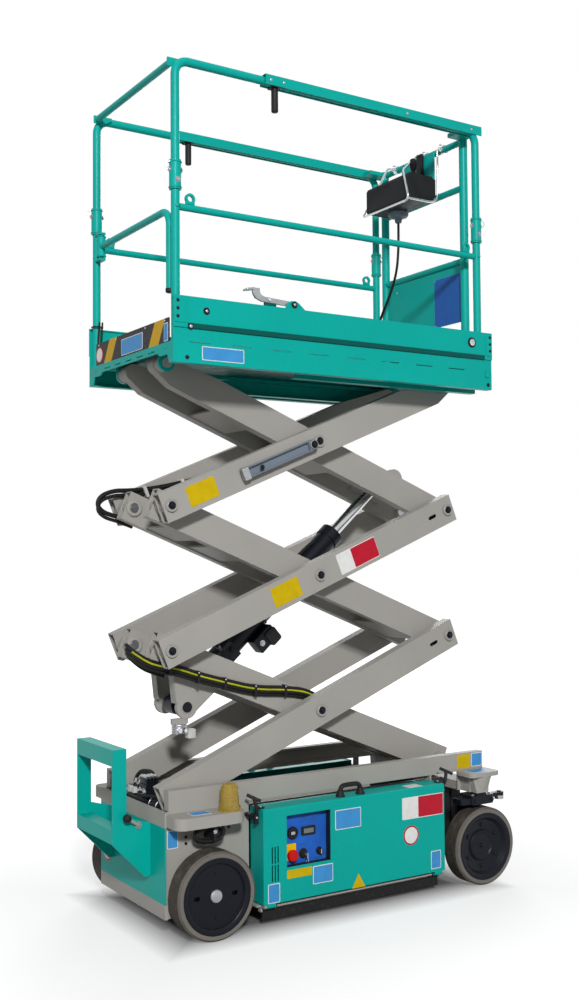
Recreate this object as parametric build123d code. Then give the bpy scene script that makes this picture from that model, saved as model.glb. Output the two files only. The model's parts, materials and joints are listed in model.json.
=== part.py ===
from build123d import *
import os
from math import atan2, cos, degrees, hypot, radians, sin, tan

# Compact electric scissor lift, three stages, raised a little as it stands.
# Millimetres. X runs along the machine with the steered wheels at +X, Y across it, Z up.
# The origin is on the ground, under the middle of the machine's box.

# Clearance of what turns or slides on something else
RUN_GAP = 0.3

# Wheels and steering
WHEEL_R = 165.0
WHEEL_WIDTH = 88.0
WHEEL_GAP = 27.0
TYRE_WALL = 36.0
TYRE_EDGE = 8.0
RIM_LIP = 6.0
AXLE_R = 25.0
AXLE_SHOULDER_R = 45.0
LUG_HOLE_X = 80.0
LUG_HOLE_LENGTH = 24.0
LUG_HOLE_HEIGHT = 16.0
KINGPIN_R = 24.0
YOKE_GAP = 10.0
YOKE_T = 44.0
YOKE_HALF_LENGTH = 62.0
YOKE_LEG_T = 14.0
YOKE_LEG_BOTTOM = 110.0
TRACK_ARM = 120.0
TRACK_ARM_R = 20.0
TRACK_PIN_R = 9.0
TIE_ROD_R = 7.5
TIE_ROD_T = 16.0

# Scissor linkage
ARM_LENGTH = 1480.0
REST_ANGLE = 22.06
BASE_PIN_X = -688.0
BEAM_SPACE = 100.0
BEAM_WIDTH = 50.0
ARM_GAP = 36.0
BEAM_HALF_DEPTH = 60.0
BEAM_WALL = 5.0
BEAM_OVERHANG = 36.0
PIN_R = 20.0
PIN_BOSS_R = 32.0
PIN_HEAD_R = 26.0
PIN_HEAD_GAP = 1.0
PIN_HEAD_T = 6.0
ROLLER_R = 28.0
ROLLER_WIDTH = 24.0
DECK_END_R = 36.0
DECK_END_TAPER = 255.0
FOOT_TAPER = 70.0
BEAM_SLOT_IN = 90.0
BEAM_SLOT_LENGTH = 46.0
BEAM_SLOT_R = 8.0
TOP_ANGLE = 64.0

# Slide rails of the chassis and runners of the platform, both open inwards
RAIL_GAP = 13.0
RAIL_WIDTH = 36.0
RAIL_WEB = 8.0
RAIL_FLANGE = 10.5
RUNNER_FLANGE = 4.0
RUNNER_SPARE = 110.0

# Lift cylinder
BARREL_EYE_IN = 214.5
BARREL_EYE_DROP = 170.0
ROD_EYE_ALONG = 230.0
ROD_EYE_RISE = 56.0
BARREL_R = 48.0
BARREL_BORE_R = 40.0
BARREL_LENGTH = 1040.0
BARREL_FLOOR = 62.0
GLAND_LENGTH = 45.0
ROD_R = 25.0
ROD_LENGTH = 1060.0
PISTON_LENGTH = 40.0
EYE_R = 38.0
EYE_HALF_WIDTH = 38.0
LUG_T = 18.0
LUG_R = 46.0
VALVE_FIRST = 230.0
VALVE_LENGTH = 100.0
VALVE_HALF_HEIGHT = 32.0
VALVE_OUT = 72.0

# Service prop
PROP_GAP = 13.0
PROP_LIP = 18.0
PROP_LENGTH = 360.0
PROP_HALF_WIDTH = 22.0
PROP_SHEET = 4.0
PROP_OFFSET = 50.0
PROP_STUD_R = 8.0

# Chassis
CHASSIS_BOTTOM = 92.0
PLATE = 8.0
WELL_INSET = 135.0
NOSE_INSET = 105.0
AXLE_BEAM_T = 38.0
AXLE_BEAM_LENGTH = 100.0
SHELF_DEPTH = 44.0
SHELF_SHEET = 6.0
SHELF_CORNER = 38.0
DRIVE_R = 70.0
DRIVE_LENGTH = 115.0
POD_LENGTH = 110.0
POD_CORNER = 30.0
REAR_PANEL_T = 6.0
REAR_BAR = 42.0
REAR_BEAM = 56.5
PUMP_SHELF = 104.0
TANK_LENGTH = 84.0
TANK_HALF_WIDTH = 80.0
TANK_HEIGHT = 58.0
PUMP_MOTOR_R = 33.0
PUMP_MOTOR_LENGTH = 96.0
LASH_HOLE_R = 14.0
LASH_T = 12.0
LASH_REACH = 52.0
LASH_HALF_WIDTH = 30.0
LASH_Y = 160.0
LASH_Z = 149.0

# Entry ladder
LADDER_REACH = 156.0
LADDER_HALF_WIDTH = 173.0
LADDER_HEIGHT = 352.0
LADDER_DEPTH = 57.0
LADDER_PLATE = 8.0
LADDER_TOP_BAR = 62.0
LADDER_LOW_BAR = 54.0

# Side covers, pothole guards and what lies behind the covers
COVER_INSET = 15.0
COVER_DEPTH = 97.0
COVER_SHEET = 4.0
COVER_CORNER = 8.0
WINDOW_FIRST = 106.0
WINDOW_LENGTH = 206.0
WINDOW_DROP = 36.0
WINDOW_HEIGHT = 198.0
VENT_FIRST = 37.0
VENT_PITCH = 13.0
VENT_WIDTH = 6.0
VENT_HEIGHT = 64.0
VENT_ROWS = [176.0, 245.0]
GUARD_INSET = 33.0
GUARD_BOTTOM = 26.0
GUARD_T = 8.0
HINGE_PIN_R = 5.0
HINGE_PIN_LENGTH = 24.0
KNUCKLE_R = 9.0
KNUCKLE_LENGTH = 40.0
EAR_T = 8.0
EAR_REACH = 20.0
BATTERY_INSET = 63.0
BATTERY_GAP = 20.0
PANEL_INSET = 39.0
PANEL_BEZEL = 16.0

# Beacon: radii and heights of its profile
BEACON_PROFILE = [(0, 0), (42, 0), (42, 16), (36, 22), (35, 40), (33, 84), (26, 100), (0, 105)]

# Platform
DECK_RISE = 42.4
DECK_T = 4.0
DECK_GAP = 5.0
PANEL_T = 6.0
PANEL_STEP = 5.0
PANEL_DROP = 71.0
PANEL_GROOVE = 61.0
PANEL_RISE = 180.0
PANEL_LIP = 12.0
PANEL_FOOT = 40.0
SLIT_COUNT = 8
SLIT_LENGTH = 90.0
SLIT_HEIGHT = 4.0
END_NOTCH_HALF_WIDTH = 344.0
END_NOTCH_RISE = 35.0
END_MIDDLE_HALF_WIDTH = 260.0
END_MIDDLE_RISE = 48.0
PIN_EAR_T = 16.0
PIN_EAR_R = 34.0
SILL_T = 14.0
TOE_INSET = 60.0
TOE_T = 6.0
TOE_HEIGHT = 101.0

# Guard rails
GUARD_HEIGHT = 1101.0
PEDAL_IN = 533.0
PEDAL_FOOT = 50.0
PEDAL_BEND = 80.0
PEDAL_LENGTH = 205.0
PEDAL_STEP = 36.0
PEDAL_RISE = 56.0
PEDAL_SHEET = 6.0
PEDAL_WIDTH = 36.0
RAIL_TUBE_R = 16.85
RAIL_TUBE_WALL = 3.0
POST_INSET = 30.0
HOOP_BEND = 55.0
MID_RAIL_RISE = 522.0
MID_RAIL_R = 13.5
COLLAR_RISE = 584.0
COLLAR_LENGTH = 112.0
COLLAR_R = 23.0
ENTRY_BAR_R = 14.0
ENTRY_PLATE = 8.0
EYE_HOLE_R = 11.0
EYE_PLATE_R = 21.0
EYE_PLATE_T = 10.0
EYE_POST_GAP = 62.0
CHANNEL_LENGTH = 1127.0
CHANNEL_SHEET = 4.0
CHANNEL_GAP = 1.5
CHANNEL_SKIRT = 40.0
HANDLE_R = 14.0
HANDLE_LENGTH = 96.0
HANDLE_IN = 55.0

# Sliding deck and its end frame
SLIDE_LENGTH = 1136.0
SLIDE_INSET = 34.0
PAD_INSET = 20.0
PAD_PITCH = 380.0
PAD_LENGTH = 60.0
PAD_WIDTH = 40.0
END_POST_INSET = 80.0
END_POST_R = 19.0
END_BAR_R = 15.0
END_PLATE_RISE = 261.0
MID_BAR_DROP = 212.0
TOP_BAR_DROP = 37.0

# Entry gate
GATE_INSET = 48.0
GATE_TUBE_R = 14.0
GATE_SLEEVE_R = 19.0
GATE_SLEEVE_LENGTH = 90.0
GATE_PIN_R = 9.0
GATE_RISE = 206.0
GATE_BEND = 60.0
GATE_LUG_T = 10.0

# Control box and its cable
BOX_LENGTH = 140.0
BOX_NEAR = -150.0
BOX_FAR = 175.0
BOX_HANG = 38.0
BOX_HEIGHT = 115.0
BOX_CORNER = 12.0
WIRE_R = 5.0
WIRE_GAP = 14.0
WIRE_BEND = 20.0
GLAND_WALL = 6.0
BOX_GLAND_IN = 28.0
BOX_GLAND_Y = 76.0
BOX_GLAND_DROP = 23.8
DECK_GLAND_IN = 122.0
DECK_GLAND_INSET = 32.0
DECK_GLAND_RISE = 11.8
CABLE_R = 6.0
CABLE_ROUTE = [
    (672, 76, 3016),
    (672, 76, 2950),
    (676, 83, 2860),
    (680, 104, 2760),
    (682, 158, 2668),
    (684, 226, 2585),
    (684, 282, 2490),
    (684, 300, 2390),
    (684, 304, 2310),
    (684, 304, 2247),
]

# Across the machine, from the middle outwards
INNER_BEAM_IN = BEAM_SPACE
INNER_BEAM_OUT = INNER_BEAM_IN + BEAM_WIDTH
OUTER_BEAM_IN = INNER_BEAM_OUT + ARM_GAP
OUTER_BEAM_OUT = OUTER_BEAM_IN + BEAM_WIDTH
RAIL_IN = OUTER_BEAM_OUT + RAIL_GAP
RAIL_OUT = RAIL_IN + RAIL_WIDTH
HALF_WIDTH = RAIL_OUT + WHEEL_GAP + WHEEL_WIDTH
WHEEL_Y = HALF_WIDTH - WHEEL_WIDTH / 2
LUG_IN = INNER_BEAM_IN + 2 - LUG_T
PROP_FACE = OUTER_BEAM_OUT + PROP_GAP
WELL_HALF_WIDTH = RAIL_OUT - WELL_INSET
NOSE_HALF_WIDTH = RAIL_OUT - NOSE_INSET
REAR_HALF_WIDTH = RAIL_OUT + 10
SHELF_OUT = HALF_WIDTH - 5
COVER_OUT = HALF_WIDTH - COVER_INSET
COVER_HINGE_Y = COVER_OUT - KNUCKLE_R
GUARD_FACE = COVER_OUT - GUARD_INSET
GUARD_HINGE_Y = GUARD_FACE - KNUCKLE_R
BATTERY_OUT = COVER_OUT - BATTERY_INSET
POST_Y = HALF_WIDTH - POST_INSET
END_POST_Y = POST_Y - END_POST_INSET
SLIDE_HALF_WIDTH = POST_Y - SLIDE_INSET
GATE_HINGE_Y = POST_Y - GATE_INSET

# Heights, from the ground up
ANGLE = radians(REST_ANGLE)
STAGE_RISE = ARM_LENGTH * sin(ANGLE)
STAGE_SPAN = ARM_LENGTH * cos(ANGLE)
HALF_ARM = ARM_LENGTH / 2
BARREL_EYE_ALONG = ARM_LENGTH - BARREL_EYE_IN
FIRST_PLATES = [(70, 250), (330, 470)]
SECOND_PLATES = [(70, 280), (ARM_LENGTH - 450, ARM_LENGTH - 290), (ARM_LENGTH - 220, ARM_LENGTH - 80)]
THIRD_PLATES = [(HALF_ARM - 180, HALF_ARM + 60), (ARM_LENGTH - 480, ARM_LENGTH - 300)]
RIM_R = WHEEL_R - TYRE_WALL
YOKE_BOTTOM = 2 * WHEEL_R + YOKE_GAP
YOKE_TOP = YOKE_BOTTOM + YOKE_T
TIE_ROD_Z = (YOKE_TOP + YOKE_BOTTOM) / 2
AXLE_BEAM_BOTTOM = YOKE_TOP + 8
AXLE_BEAM_TOP = AXLE_BEAM_BOTTOM + AXLE_BEAM_T
CHASSIS_TOP = AXLE_BEAM_TOP + 43.5
RAIL_HALF_HEIGHT = ROLLER_R + RAIL_FLANGE
BASE_PIN_Z = CHASSIS_TOP + RAIL_HALF_HEIGHT
TRAY_BOTTOM = CHASSIS_BOTTOM - 12
TRAY_TOP = TRAY_BOTTOM + PLATE
REAR_PANEL_BOTTOM = CHASSIS_BOTTOM + REAR_BAR
REAR_PANEL_TOP = CHASSIS_TOP - REAR_BEAM
LADDER_BOTTOM = REAR_PANEL_TOP - 65
LADDER_TOP = LADDER_BOTTOM + LADDER_HEIGHT
LADDER_FOOT = REAR_PANEL_BOTTOM + 82
SHELF_TOP = CHASSIS_TOP - 7.5
POD_TOP = CHASSIS_TOP + 1.5
COVER_BOTTOM = CHASSIS_BOTTOM + 2
COVER_TOP = CHASSIS_TOP - 17.5
COVER_HINGE_Z = COVER_BOTTOM - KNUCKLE_R + 1
GUARD_HINGE_Z = TRAY_BOTTOM - KNUCKLE_R - 2
WINDOW_TOP = COVER_TOP - WINDOW_DROP
WINDOW_BOTTOM = WINDOW_TOP - WINDOW_HEIGHT
TOP_PIN_Z = BASE_PIN_Z + 3 * STAGE_RISE
DECK_BOTTOM = TOP_PIN_Z + DECK_RISE
DECK_TOP = DECK_BOTTOM + DECK_T
SLIDE_BOTTOM = DECK_TOP + DECK_GAP
SLIDE_TOP = SLIDE_BOTTOM + DECK_T
PANEL_BOTTOM = DECK_BOTTOM - PANEL_DROP
PANEL_STEP_Z = DECK_BOTTOM + PANEL_GROOVE
PANEL_TOP = DECK_BOTTOM + PANEL_RISE
TOE_TOP = DECK_TOP + TOE_HEIGHT
GATE_BOTTOM = DECK_BOTTOM + GATE_RISE
MID_RAIL_Z = DECK_BOTTOM + MID_RAIL_RISE
COLLAR_BOTTOM = DECK_BOTTOM + COLLAR_RISE
COLLAR_TOP = COLLAR_BOTTOM + COLLAR_LENGTH
TOP_Z = DECK_TOP + GUARD_HEIGHT
HOOP_Z = TOP_Z - CHANNEL_SHEET - CHANNEL_GAP - RAIL_TUBE_R
CHANNEL_LOW = TOP_Z - CHANNEL_SKIRT
END_PLATE_BOTTOM = DECK_BOTTOM + END_PLATE_RISE
END_PLATE_TOP = MID_RAIL_Z + 1
END_TOP_BAR_Z = TOP_Z - TOP_BAR_DROP
END_MID_BAR_Z = END_TOP_BAR_Z - MID_BAR_DROP
BOX_BOTTOM = END_MID_BAR_Z - BOX_HANG
BOX_TOP = BOX_BOTTOM + BOX_HEIGHT

# Along the machine, from the arms' fixed pins
RIGHT_PIN_X = BASE_PIN_X + STAGE_SPAN
FLAT_PIN_X = BASE_PIN_X + ARM_LENGTH
CHASSIS_LEFT = BASE_PIN_X - 54
REAR_FACE = CHASSIS_LEFT - REAR_PANEL_T
LADDER_FRONT = REAR_FACE - LADDER_REACH
RAIL_LEFT = BASE_PIN_X - 39
RAIL_POCKET = BASE_PIN_X + 48
RAIL_RIGHT = FLAT_PIN_X + ROLLER_R + 8
REAR_AXLE_X = BASE_PIN_X + 106
FRONT_AXLE_X = FLAT_PIN_X - 53
AXLE_BEAM_LEFT = FRONT_AXLE_X - AXLE_BEAM_LENGTH / 2 + 1
AXLE_BEAM_RIGHT = AXLE_BEAM_LEFT + AXLE_BEAM_LENGTH
NOSE_RIGHT = FRONT_AXLE_X + 67
COVER_LEFT = REAR_AXLE_X + WHEEL_R + 43
COVER_RIGHT = FRONT_AXLE_X - WHEEL_R - 52
SHELF_RIGHT = COVER_LEFT - 76
BEACON_X = SHELF_RIGHT - 52
BEACON_Y = SHELF_OUT - 45
WINDOW_LEFT = COVER_LEFT + WINDOW_FIRST
WINDOW_RIGHT = WINDOW_LEFT + WINDOW_LENGTH
PLATFORM_LEFT = BASE_PIN_X - 70
PLATFORM_RIGHT = FLAT_PIN_X + 24
RUNNER_LEFT = BASE_PIN_X + ARM_LENGTH * cos(radians(TOP_ANGLE)) - RUNNER_SPARE
POST_LEFT_X = PLATFORM_LEFT + 23
POST_RIGHT_X = PLATFORM_RIGHT - 57
SLIDE_RIGHT = PLATFORM_RIGHT - 10
SLIDE_LEFT = SLIDE_RIGHT - SLIDE_LENGTH
CHANNEL_RIGHT = POST_RIGHT_X + 21
CHANNEL_LEFT = CHANNEL_RIGHT - CHANNEL_LENGTH
PEDAL_X = PLATFORM_LEFT + PEDAL_IN
BOX_RIGHT = POST_RIGHT_X - 59
BOX_LEFT = BOX_RIGHT - BOX_LENGTH


def block(x0, x1, y0, y1, z0, z1):
    """Box between two opposite corners."""
    middle = Pos((x0 + x1) / 2, (y0 + y1) / 2, (z0 + z1) / 2)
    return middle * Box(abs(x1 - x0), abs(y1 - y0), abs(z1 - z0))


def round_x(y, z, radius, x0, x1):
    """Round bar along X."""
    return Pos((x0 + x1) / 2, y, z) * Rot(0, 90, 0) * Cylinder(radius, abs(x1 - x0))


def round_y(x, z, radius, y0, y1):
    """Round bar along Y."""
    return Pos(x, (y0 + y1) / 2, z) * Rot(90, 0, 0) * Cylinder(radius, abs(y1 - y0))


def round_z(x, y, radius, z0, z1):
    """Round bar along Z."""
    return Pos(x, y, (z0 + z1) / 2) * Cylinder(radius, abs(z1 - z0))


def plate_xz(points, y0, y1):
    """Flat plate with an outline in X and Z, between two Y values."""
    outline = Polyline(*[(x, y0, z) for x, z in points], close=True)
    return extrude(make_face(outline), amount=y1 - y0, dir=(0, 1, 0))


def plate_yz(points, x0, x1):
    """Flat plate with an outline in Y and Z, between two X values."""
    outline = Polyline(*[(x0, y, z) for y, z in points], close=True)
    return extrude(make_face(outline), amount=x1 - x0, dir=(1, 0, 0))


def bent_tube(points, bends, radius, wall):
    """Round tube along straight runs joined by arcs."""
    path = FilletPolyline(*points, radius=bends)
    section = Circle(radius) - Circle(radius - wall) if wall else Circle(radius)
    start = Plane(origin=path @ 0, z_dir=path % 0)
    return sweep(start * section, path=path)


def other_side(shape):
    """The same shape on the far side."""
    return mirror(shape, about=Plane.XZ)


def both_sides(shape):
    """A near shape and its far twin, as one list of solids."""
    return [shape, other_side(shape)]


def joined(shapes):
    """One body from overlapping shapes."""
    whole = shapes[0]
    for shape in shapes[1:]:
        whole = whole + shape
    return whole


NODES = {}


def node(name, *shapes):
    """Keep a named piece; several shapes in it don't touch each other."""
    solids = []
    for shape in shapes:
        solids.extend(shape.solids())
    NODES[name] = solids


# Scissor arms
def beam(deck_end):
    """One hollow beam along +X from its first pin, pins at its ends and middle."""
    depth = BEAM_HALF_DEPTH
    inner = depth - BEAM_WALL
    start = -BEAM_OVERHANG
    if deck_end:
        foot = ARM_LENGTH - FOOT_TAPER
        taper = ARM_LENGTH - DECK_END_TAPER
        top_slope = (depth - DECK_END_R) / DECK_END_TAPER
        closed_top = DECK_END_R + top_slope * FOOT_TAPER - BEAM_WALL
        outline = [(start, -depth), (foot, -depth), (ARM_LENGTH, -DECK_END_R),
                   (ARM_LENGTH, DECK_END_R), (taper, depth), (start, depth)]
        hollow = [(start - 1, -inner), (foot, -inner), (foot, closed_top),
                  (taper, inner), (start - 1, inner)]
    else:
        end = ARM_LENGTH + BEAM_OVERHANG
        outline = [(start, -depth), (end, -depth), (end, depth), (start, depth)]
        hollow = [(start - 1, -inner), (end + 1, -inner), (end + 1, inner), (start - 1, inner)]
    return outline, hollow


def beam_slot(y0, y1):
    """Round-ended slot near the right end of an outer beam."""
    half = BEAM_SLOT_LENGTH / 2 - BEAM_SLOT_R
    middle = ARM_LENGTH - BEAM_SLOT_IN
    slot = block(middle - half, middle + half, y0, y1, -BEAM_SLOT_R, BEAM_SLOT_R)
    for x in (middle - half, middle + half):
        slot += round_y(x, 0, BEAM_SLOT_R, y0, y1)
    return slot


def outer_beam(deck_end):
    """Near outer beam with three pin bores, lying along +X."""
    outline, hollow = beam(deck_end)
    y0 = -OUTER_BEAM_OUT
    y1 = -OUTER_BEAM_IN
    shape = plate_xz(outline, y0, y1)
    if deck_end:
        shape += round_y(ARM_LENGTH, 0, DECK_END_R, y0, y1)
    shape -= plate_xz(hollow, y0 + BEAM_WALL, y1 - BEAM_WALL)
    pins = (0, HALF_ARM) if deck_end else (0, HALF_ARM, ARM_LENGTH)
    for along in pins:
        shape += round_y(along, 0, PIN_BOSS_R, y0, y1)
        shape -= round_y(along, 0, PIN_R + RUN_GAP, y0 - 1, y1 + 1)
    if deck_end:
        shape += round_y(ARM_LENGTH, 0, PIN_R, -RAIL_OUT + RAIL_WEB + 1, y1)
    else:
        shape -= beam_slot(y0 - 1, y0 + BEAM_WALL + 1)
    return shape


def inner_beam(pins, deck_end):
    """Near inner beam lying along -X, with the stub pins that carry the outer beams."""
    outline, hollow = beam(deck_end)
    y0 = -INNER_BEAM_OUT
    y1 = -INNER_BEAM_IN
    shape = plate_xz([(-u, v) for u, v in outline], y0, y1)
    if deck_end:
        shape += round_y(-ARM_LENGTH, 0, DECK_END_R, y0, y1)
    shape -= plate_xz([(-u, v) for u, v in hollow], y0 + BEAM_WALL, y1 - BEAM_WALL)
    for along, pin_end in pins:
        shape += round_y(-along, 0, PIN_BOSS_R, -OUTER_BEAM_IN + PIN_HEAD_GAP, y1)
        shape += round_y(-along, 0, PIN_R, -pin_end, y1)
    return shape


def pin_heads(alongs):
    """Retaining discs on the outer ends of the stub pins."""
    y0 = -OUTER_BEAM_OUT - PIN_HEAD_GAP - PIN_HEAD_T
    y1 = -OUTER_BEAM_OUT - PIN_HEAD_GAP
    return [round_y(-along, 0, PIN_HEAD_R, y0, y1) for along in alongs]


def cross_plates(spans):
    """Plates that tie the two inner beams of a stage together."""
    edge = BEAM_HALF_DEPTH - BEAM_WALL
    reach = INNER_BEAM_IN + BEAM_WALL
    plates = []
    for first, last in spans:
        plates.append(block(-last, -first, -reach, reach, edge - PLATE, edge))
        plates.append(block(-last, -first, -reach, reach, -edge, -edge + PLATE))
    return plates


def stage_low(stage):
    """Height of a stage's lower pins."""
    return BASE_PIN_Z + (stage - 1) * STAGE_RISE


def outer_place(stage):
    """Place of a stage's outer beams, from their left, lower pins."""
    return Pos(BASE_PIN_X, 0, stage_low(stage)) * Rot(0, -REST_ANGLE, 0)


def inner_place(stage):
    """Place of a stage's inner frame, from its right, lower pins."""
    return Pos(RIGHT_PIN_X, 0, stage_low(stage)) * Rot(0, REST_ANGLE, 0)


CARRY_PIN = OUTER_BEAM_OUT + PIN_HEAD_GAP + PIN_HEAD_T / 2
ROLLER_PIN = RAIL_OUT - RAIL_WEB - 1
BRACKET_PIN = OUTER_BEAM_IN + 24


def outer_arms():
    """Outer beams of the three stages."""
    for stage in (1, 2, 3):
        near = outer_beam(stage == 3)
        far = other_side(near)
        if stage == 3:
            near = near + prop_stud()
        place = outer_place(stage)
        node(f"outer_arms_{stage}", place * near, place * far)


def barrel_bracket():
    """Near V plate under the first inner frame, with the stub that faces the barrel's eye."""
    x = -BARREL_EYE_ALONG
    z = -BARREL_EYE_DROP
    reach = 130.0
    top = -BEAM_HALF_DEPTH + 45.0
    outline = [(x - LUG_R, z), (x - reach, top), (x + reach, top), (x + LUG_R, z)]
    plate = plate_xz(outline, -INNER_BEAM_IN - 2, -LUG_IN)
    plate += round_y(x, z, LUG_R, -INNER_BEAM_IN - 2, -LUG_IN)
    plate += round_y(x, z, PIN_R, -INNER_BEAM_IN - 2, -EYE_HALF_WIDTH - 4)
    return plate


def rod_lug():
    """Near lug on the third inner frame that holds the rod's eye pin."""
    x = -ROD_EYE_ALONG
    z = ROD_EYE_RISE
    outline = [(x - LUG_R, z), (x - 90, -20), (x + 90, -20), (x + LUG_R, z)]
    lug = plate_xz(outline, -INNER_BEAM_IN - 2, -LUG_IN)
    lug += round_y(x, z, LUG_R, -INNER_BEAM_IN - 2, -LUG_IN)
    lug += round_y(x, z, PIN_R + 8, -LUG_IN - 2, -EYE_HALF_WIDTH - 1)
    return lug


def inner_frames():
    """Inner frames of the three stages, with their pins, cross plates and cylinder brackets."""
    carried = [(HALF_ARM, CARRY_PIN), (ARM_LENGTH, CARRY_PIN)]
    first = [(0, ROLLER_PIN)] + carried
    middle = [(0, CARRY_PIN)] + carried
    last = [(0, CARRY_PIN), (HALF_ARM, CARRY_PIN), (ARM_LENGTH, BRACKET_PIN)]

    near = joined([inner_beam(first, False), barrel_bracket()] + pin_heads((HALF_ARM, ARM_LENGTH)))
    frame = joined([near, other_side(near)] + cross_plates(FIRST_PLATES))
    node("inner_frame_1", inner_place(1) * frame)

    near = joined([inner_beam(middle, False)] + pin_heads((0, HALF_ARM, ARM_LENGTH)))
    frame = joined([near, other_side(near)] + cross_plates(SECOND_PLATES))
    node("inner_frame_2", inner_place(2) * frame)

    near = joined([inner_beam(last, True), rod_lug()] + pin_heads((0, HALF_ARM)))
    eye_pin = round_y(-ROD_EYE_ALONG, ROD_EYE_RISE, PIN_R, -LUG_IN - 2, LUG_IN + 2)
    frame = joined([near, other_side(near), eye_pin] + cross_plates(THIRD_PLATES))
    node("inner_frame_3", inner_place(3) * frame)


def roller(x, z):
    """Near roller that runs in a slide rail."""
    middle = (RAIL_IN + RAIL_OUT - RAIL_WEB) / 2
    y0 = -middle - ROLLER_WIDTH / 2
    y1 = -middle + ROLLER_WIDTH / 2
    return round_y(x, z, ROLLER_R, y0, y1) - round_y(x, z, PIN_R + RUN_GAP, y0 - 1, y1 + 1)


def rollers():
    """Rollers on the feet of the first inner frame and the heads of the last outer beams."""
    node("base_rollers", *both_sides(roller(RIGHT_PIN_X, BASE_PIN_Z)))
    node("platform_rollers", *both_sides(roller(RIGHT_PIN_X, TOP_PIN_Z)))


def inner_point(stage, along, rise):
    """Point of an inner frame, from distances along it and square to it."""
    x = RIGHT_PIN_X - along * cos(ANGLE) + rise * sin(ANGLE)
    z = stage_low(stage) + along * sin(ANGLE) + rise * cos(ANGLE)
    return x, z


def lift_cylinder():
    """Lift cylinder, from its barrel's eye under stage 1 to its rod's eye on stage 3."""
    ax, az = inner_point(1, BARREL_EYE_ALONG, -BARREL_EYE_DROP)
    bx, bz = inner_point(3, ROD_EYE_ALONG, ROD_EYE_RISE)
    length = hypot(bx - ax, bz - az)
    place = Pos(ax, 0, az) * Rot(0, -degrees(atan2(bz - az, bx - ax)), 0)
    wide = EYE_HALF_WIDTH
    floor = BARREL_FLOOR
    gland = GLAND_LENGTH
    barrel = round_y(0, 0, EYE_R, -wide, wide) + round_x(0, 0, EYE_R - 8, 0, floor)
    barrel += round_x(0, 0, BARREL_R, EYE_R - 4, BARREL_LENGTH)
    barrel += round_x(0, 0, BARREL_R + 5, BARREL_LENGTH - gland, BARREL_LENGTH)
    barrel += block(VALVE_FIRST, VALVE_FIRST + VALVE_LENGTH, -VALVE_OUT, -BARREL_R + 18,
                    -VALVE_HALF_HEIGHT, VALVE_HALF_HEIGHT)
    barrel -= round_x(0, 0, BARREL_BORE_R, floor, BARREL_LENGTH - gland)
    barrel -= round_x(0, 0, ROD_R + RUN_GAP, floor, BARREL_LENGTH + 1)
    barrel -= round_y(0, 0, PIN_R + RUN_GAP, -wide - 1, wide + 1)
    node("lift_barrel", place * barrel)

    end = length - ROD_LENGTH
    rod = round_x(0, 0, ROD_R, end, length)
    rod += round_x(0, 0, BARREL_BORE_R - RUN_GAP, end, end + PISTON_LENGTH)
    rod += round_y(length, 0, EYE_R, -wide, wide)
    rod -= round_y(length, 0, PIN_R + RUN_GAP, -wide - 1, wide + 1)
    node("lift_rod", place * rod)


def prop_stud():
    """Pivot stud and rest pad of the service prop, on the near beam of stage 3."""
    along = HALF_ARM - PROP_OFFSET
    stud = round_y(along, 0, PROP_STUD_R, -PROP_FACE - PROP_LIP - 2, -OUTER_BEAM_OUT + 2)
    stud += round_y(along, 0, PROP_STUD_R + 6, -PROP_FACE - PROP_LIP - 5, -PROP_FACE - PROP_LIP - 1)
    rest = along - PROP_LENGTH + 60
    stud += round_y(rest, 0, PROP_STUD_R + 4, -PROP_FACE + RUN_GAP, -OUTER_BEAM_OUT + 2)
    return stud


def service_prop():
    """Channel bar that lies along the near beam of stage 3 and swings down to block the arms."""
    along = HALF_ARM - PROP_OFFSET
    half = PROP_HALF_WIDTH
    sheet = PROP_SHEET
    y0 = -PROP_FACE - PROP_LIP
    y1 = -PROP_FACE
    bar = block(along - PROP_LENGTH, along, y0, y1, -half, half) + round_y(along, 0, half, y0, y1)
    bar -= block(along - PROP_LENGTH - 1, along - half, y0 - 1, y1 - sheet, -half + sheet, half - sheet)
    bar -= round_y(along, 0, PROP_STUD_R + RUN_GAP, y0 - 1, y1 + 1)
    node("service_prop", outer_place(3) * bar)


# Chassis
def slide_rail():
    """Near C rail in which the lower rollers run, with the fixed foot pin of stage 1."""
    top = BASE_PIN_Z + RAIL_HALF_HEIGHT
    low = BASE_PIN_Z - RAIL_HALF_HEIGHT
    half = ROLLER_R + RUN_GAP
    rail = block(RAIL_LEFT, RAIL_RIGHT, -RAIL_OUT, -RAIL_IN, low, top)
    rail -= block(RAIL_POCKET, RAIL_RIGHT + 1, -RAIL_OUT + RAIL_WEB, -RAIL_IN + 1,
                  BASE_PIN_Z - half, BASE_PIN_Z + half)
    rail += round_y(BASE_PIN_X, BASE_PIN_Z, PIN_R, -RAIL_IN - 4, -OUTER_BEAM_IN + 6)
    return rail


def rear_shelf():
    """Near shelf over a rear wheel: a folded box, open below, with rounded outer corners."""
    low = SHELF_TOP - SHELF_DEPTH
    sheet = SHELF_SHEET
    shelf = block(CHASSIS_LEFT, SHELF_RIGHT, -SHELF_OUT, -RAIL_OUT + 2, low, SHELF_TOP)
    shelf = fillet(shelf.edges().filter_by(Axis.Z).group_by(Axis.Y)[0], SHELF_CORNER)
    inside = block(CHASSIS_LEFT + sheet, SHELF_RIGHT - sheet, -SHELF_OUT + sheet, -RAIL_OUT - sheet,
                   low - 1, SHELF_TOP - sheet)
    return shelf - fillet(inside.edges().filter_by(Axis.Z).group_by(Axis.Y)[0], SHELF_CORNER - sheet)


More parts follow.
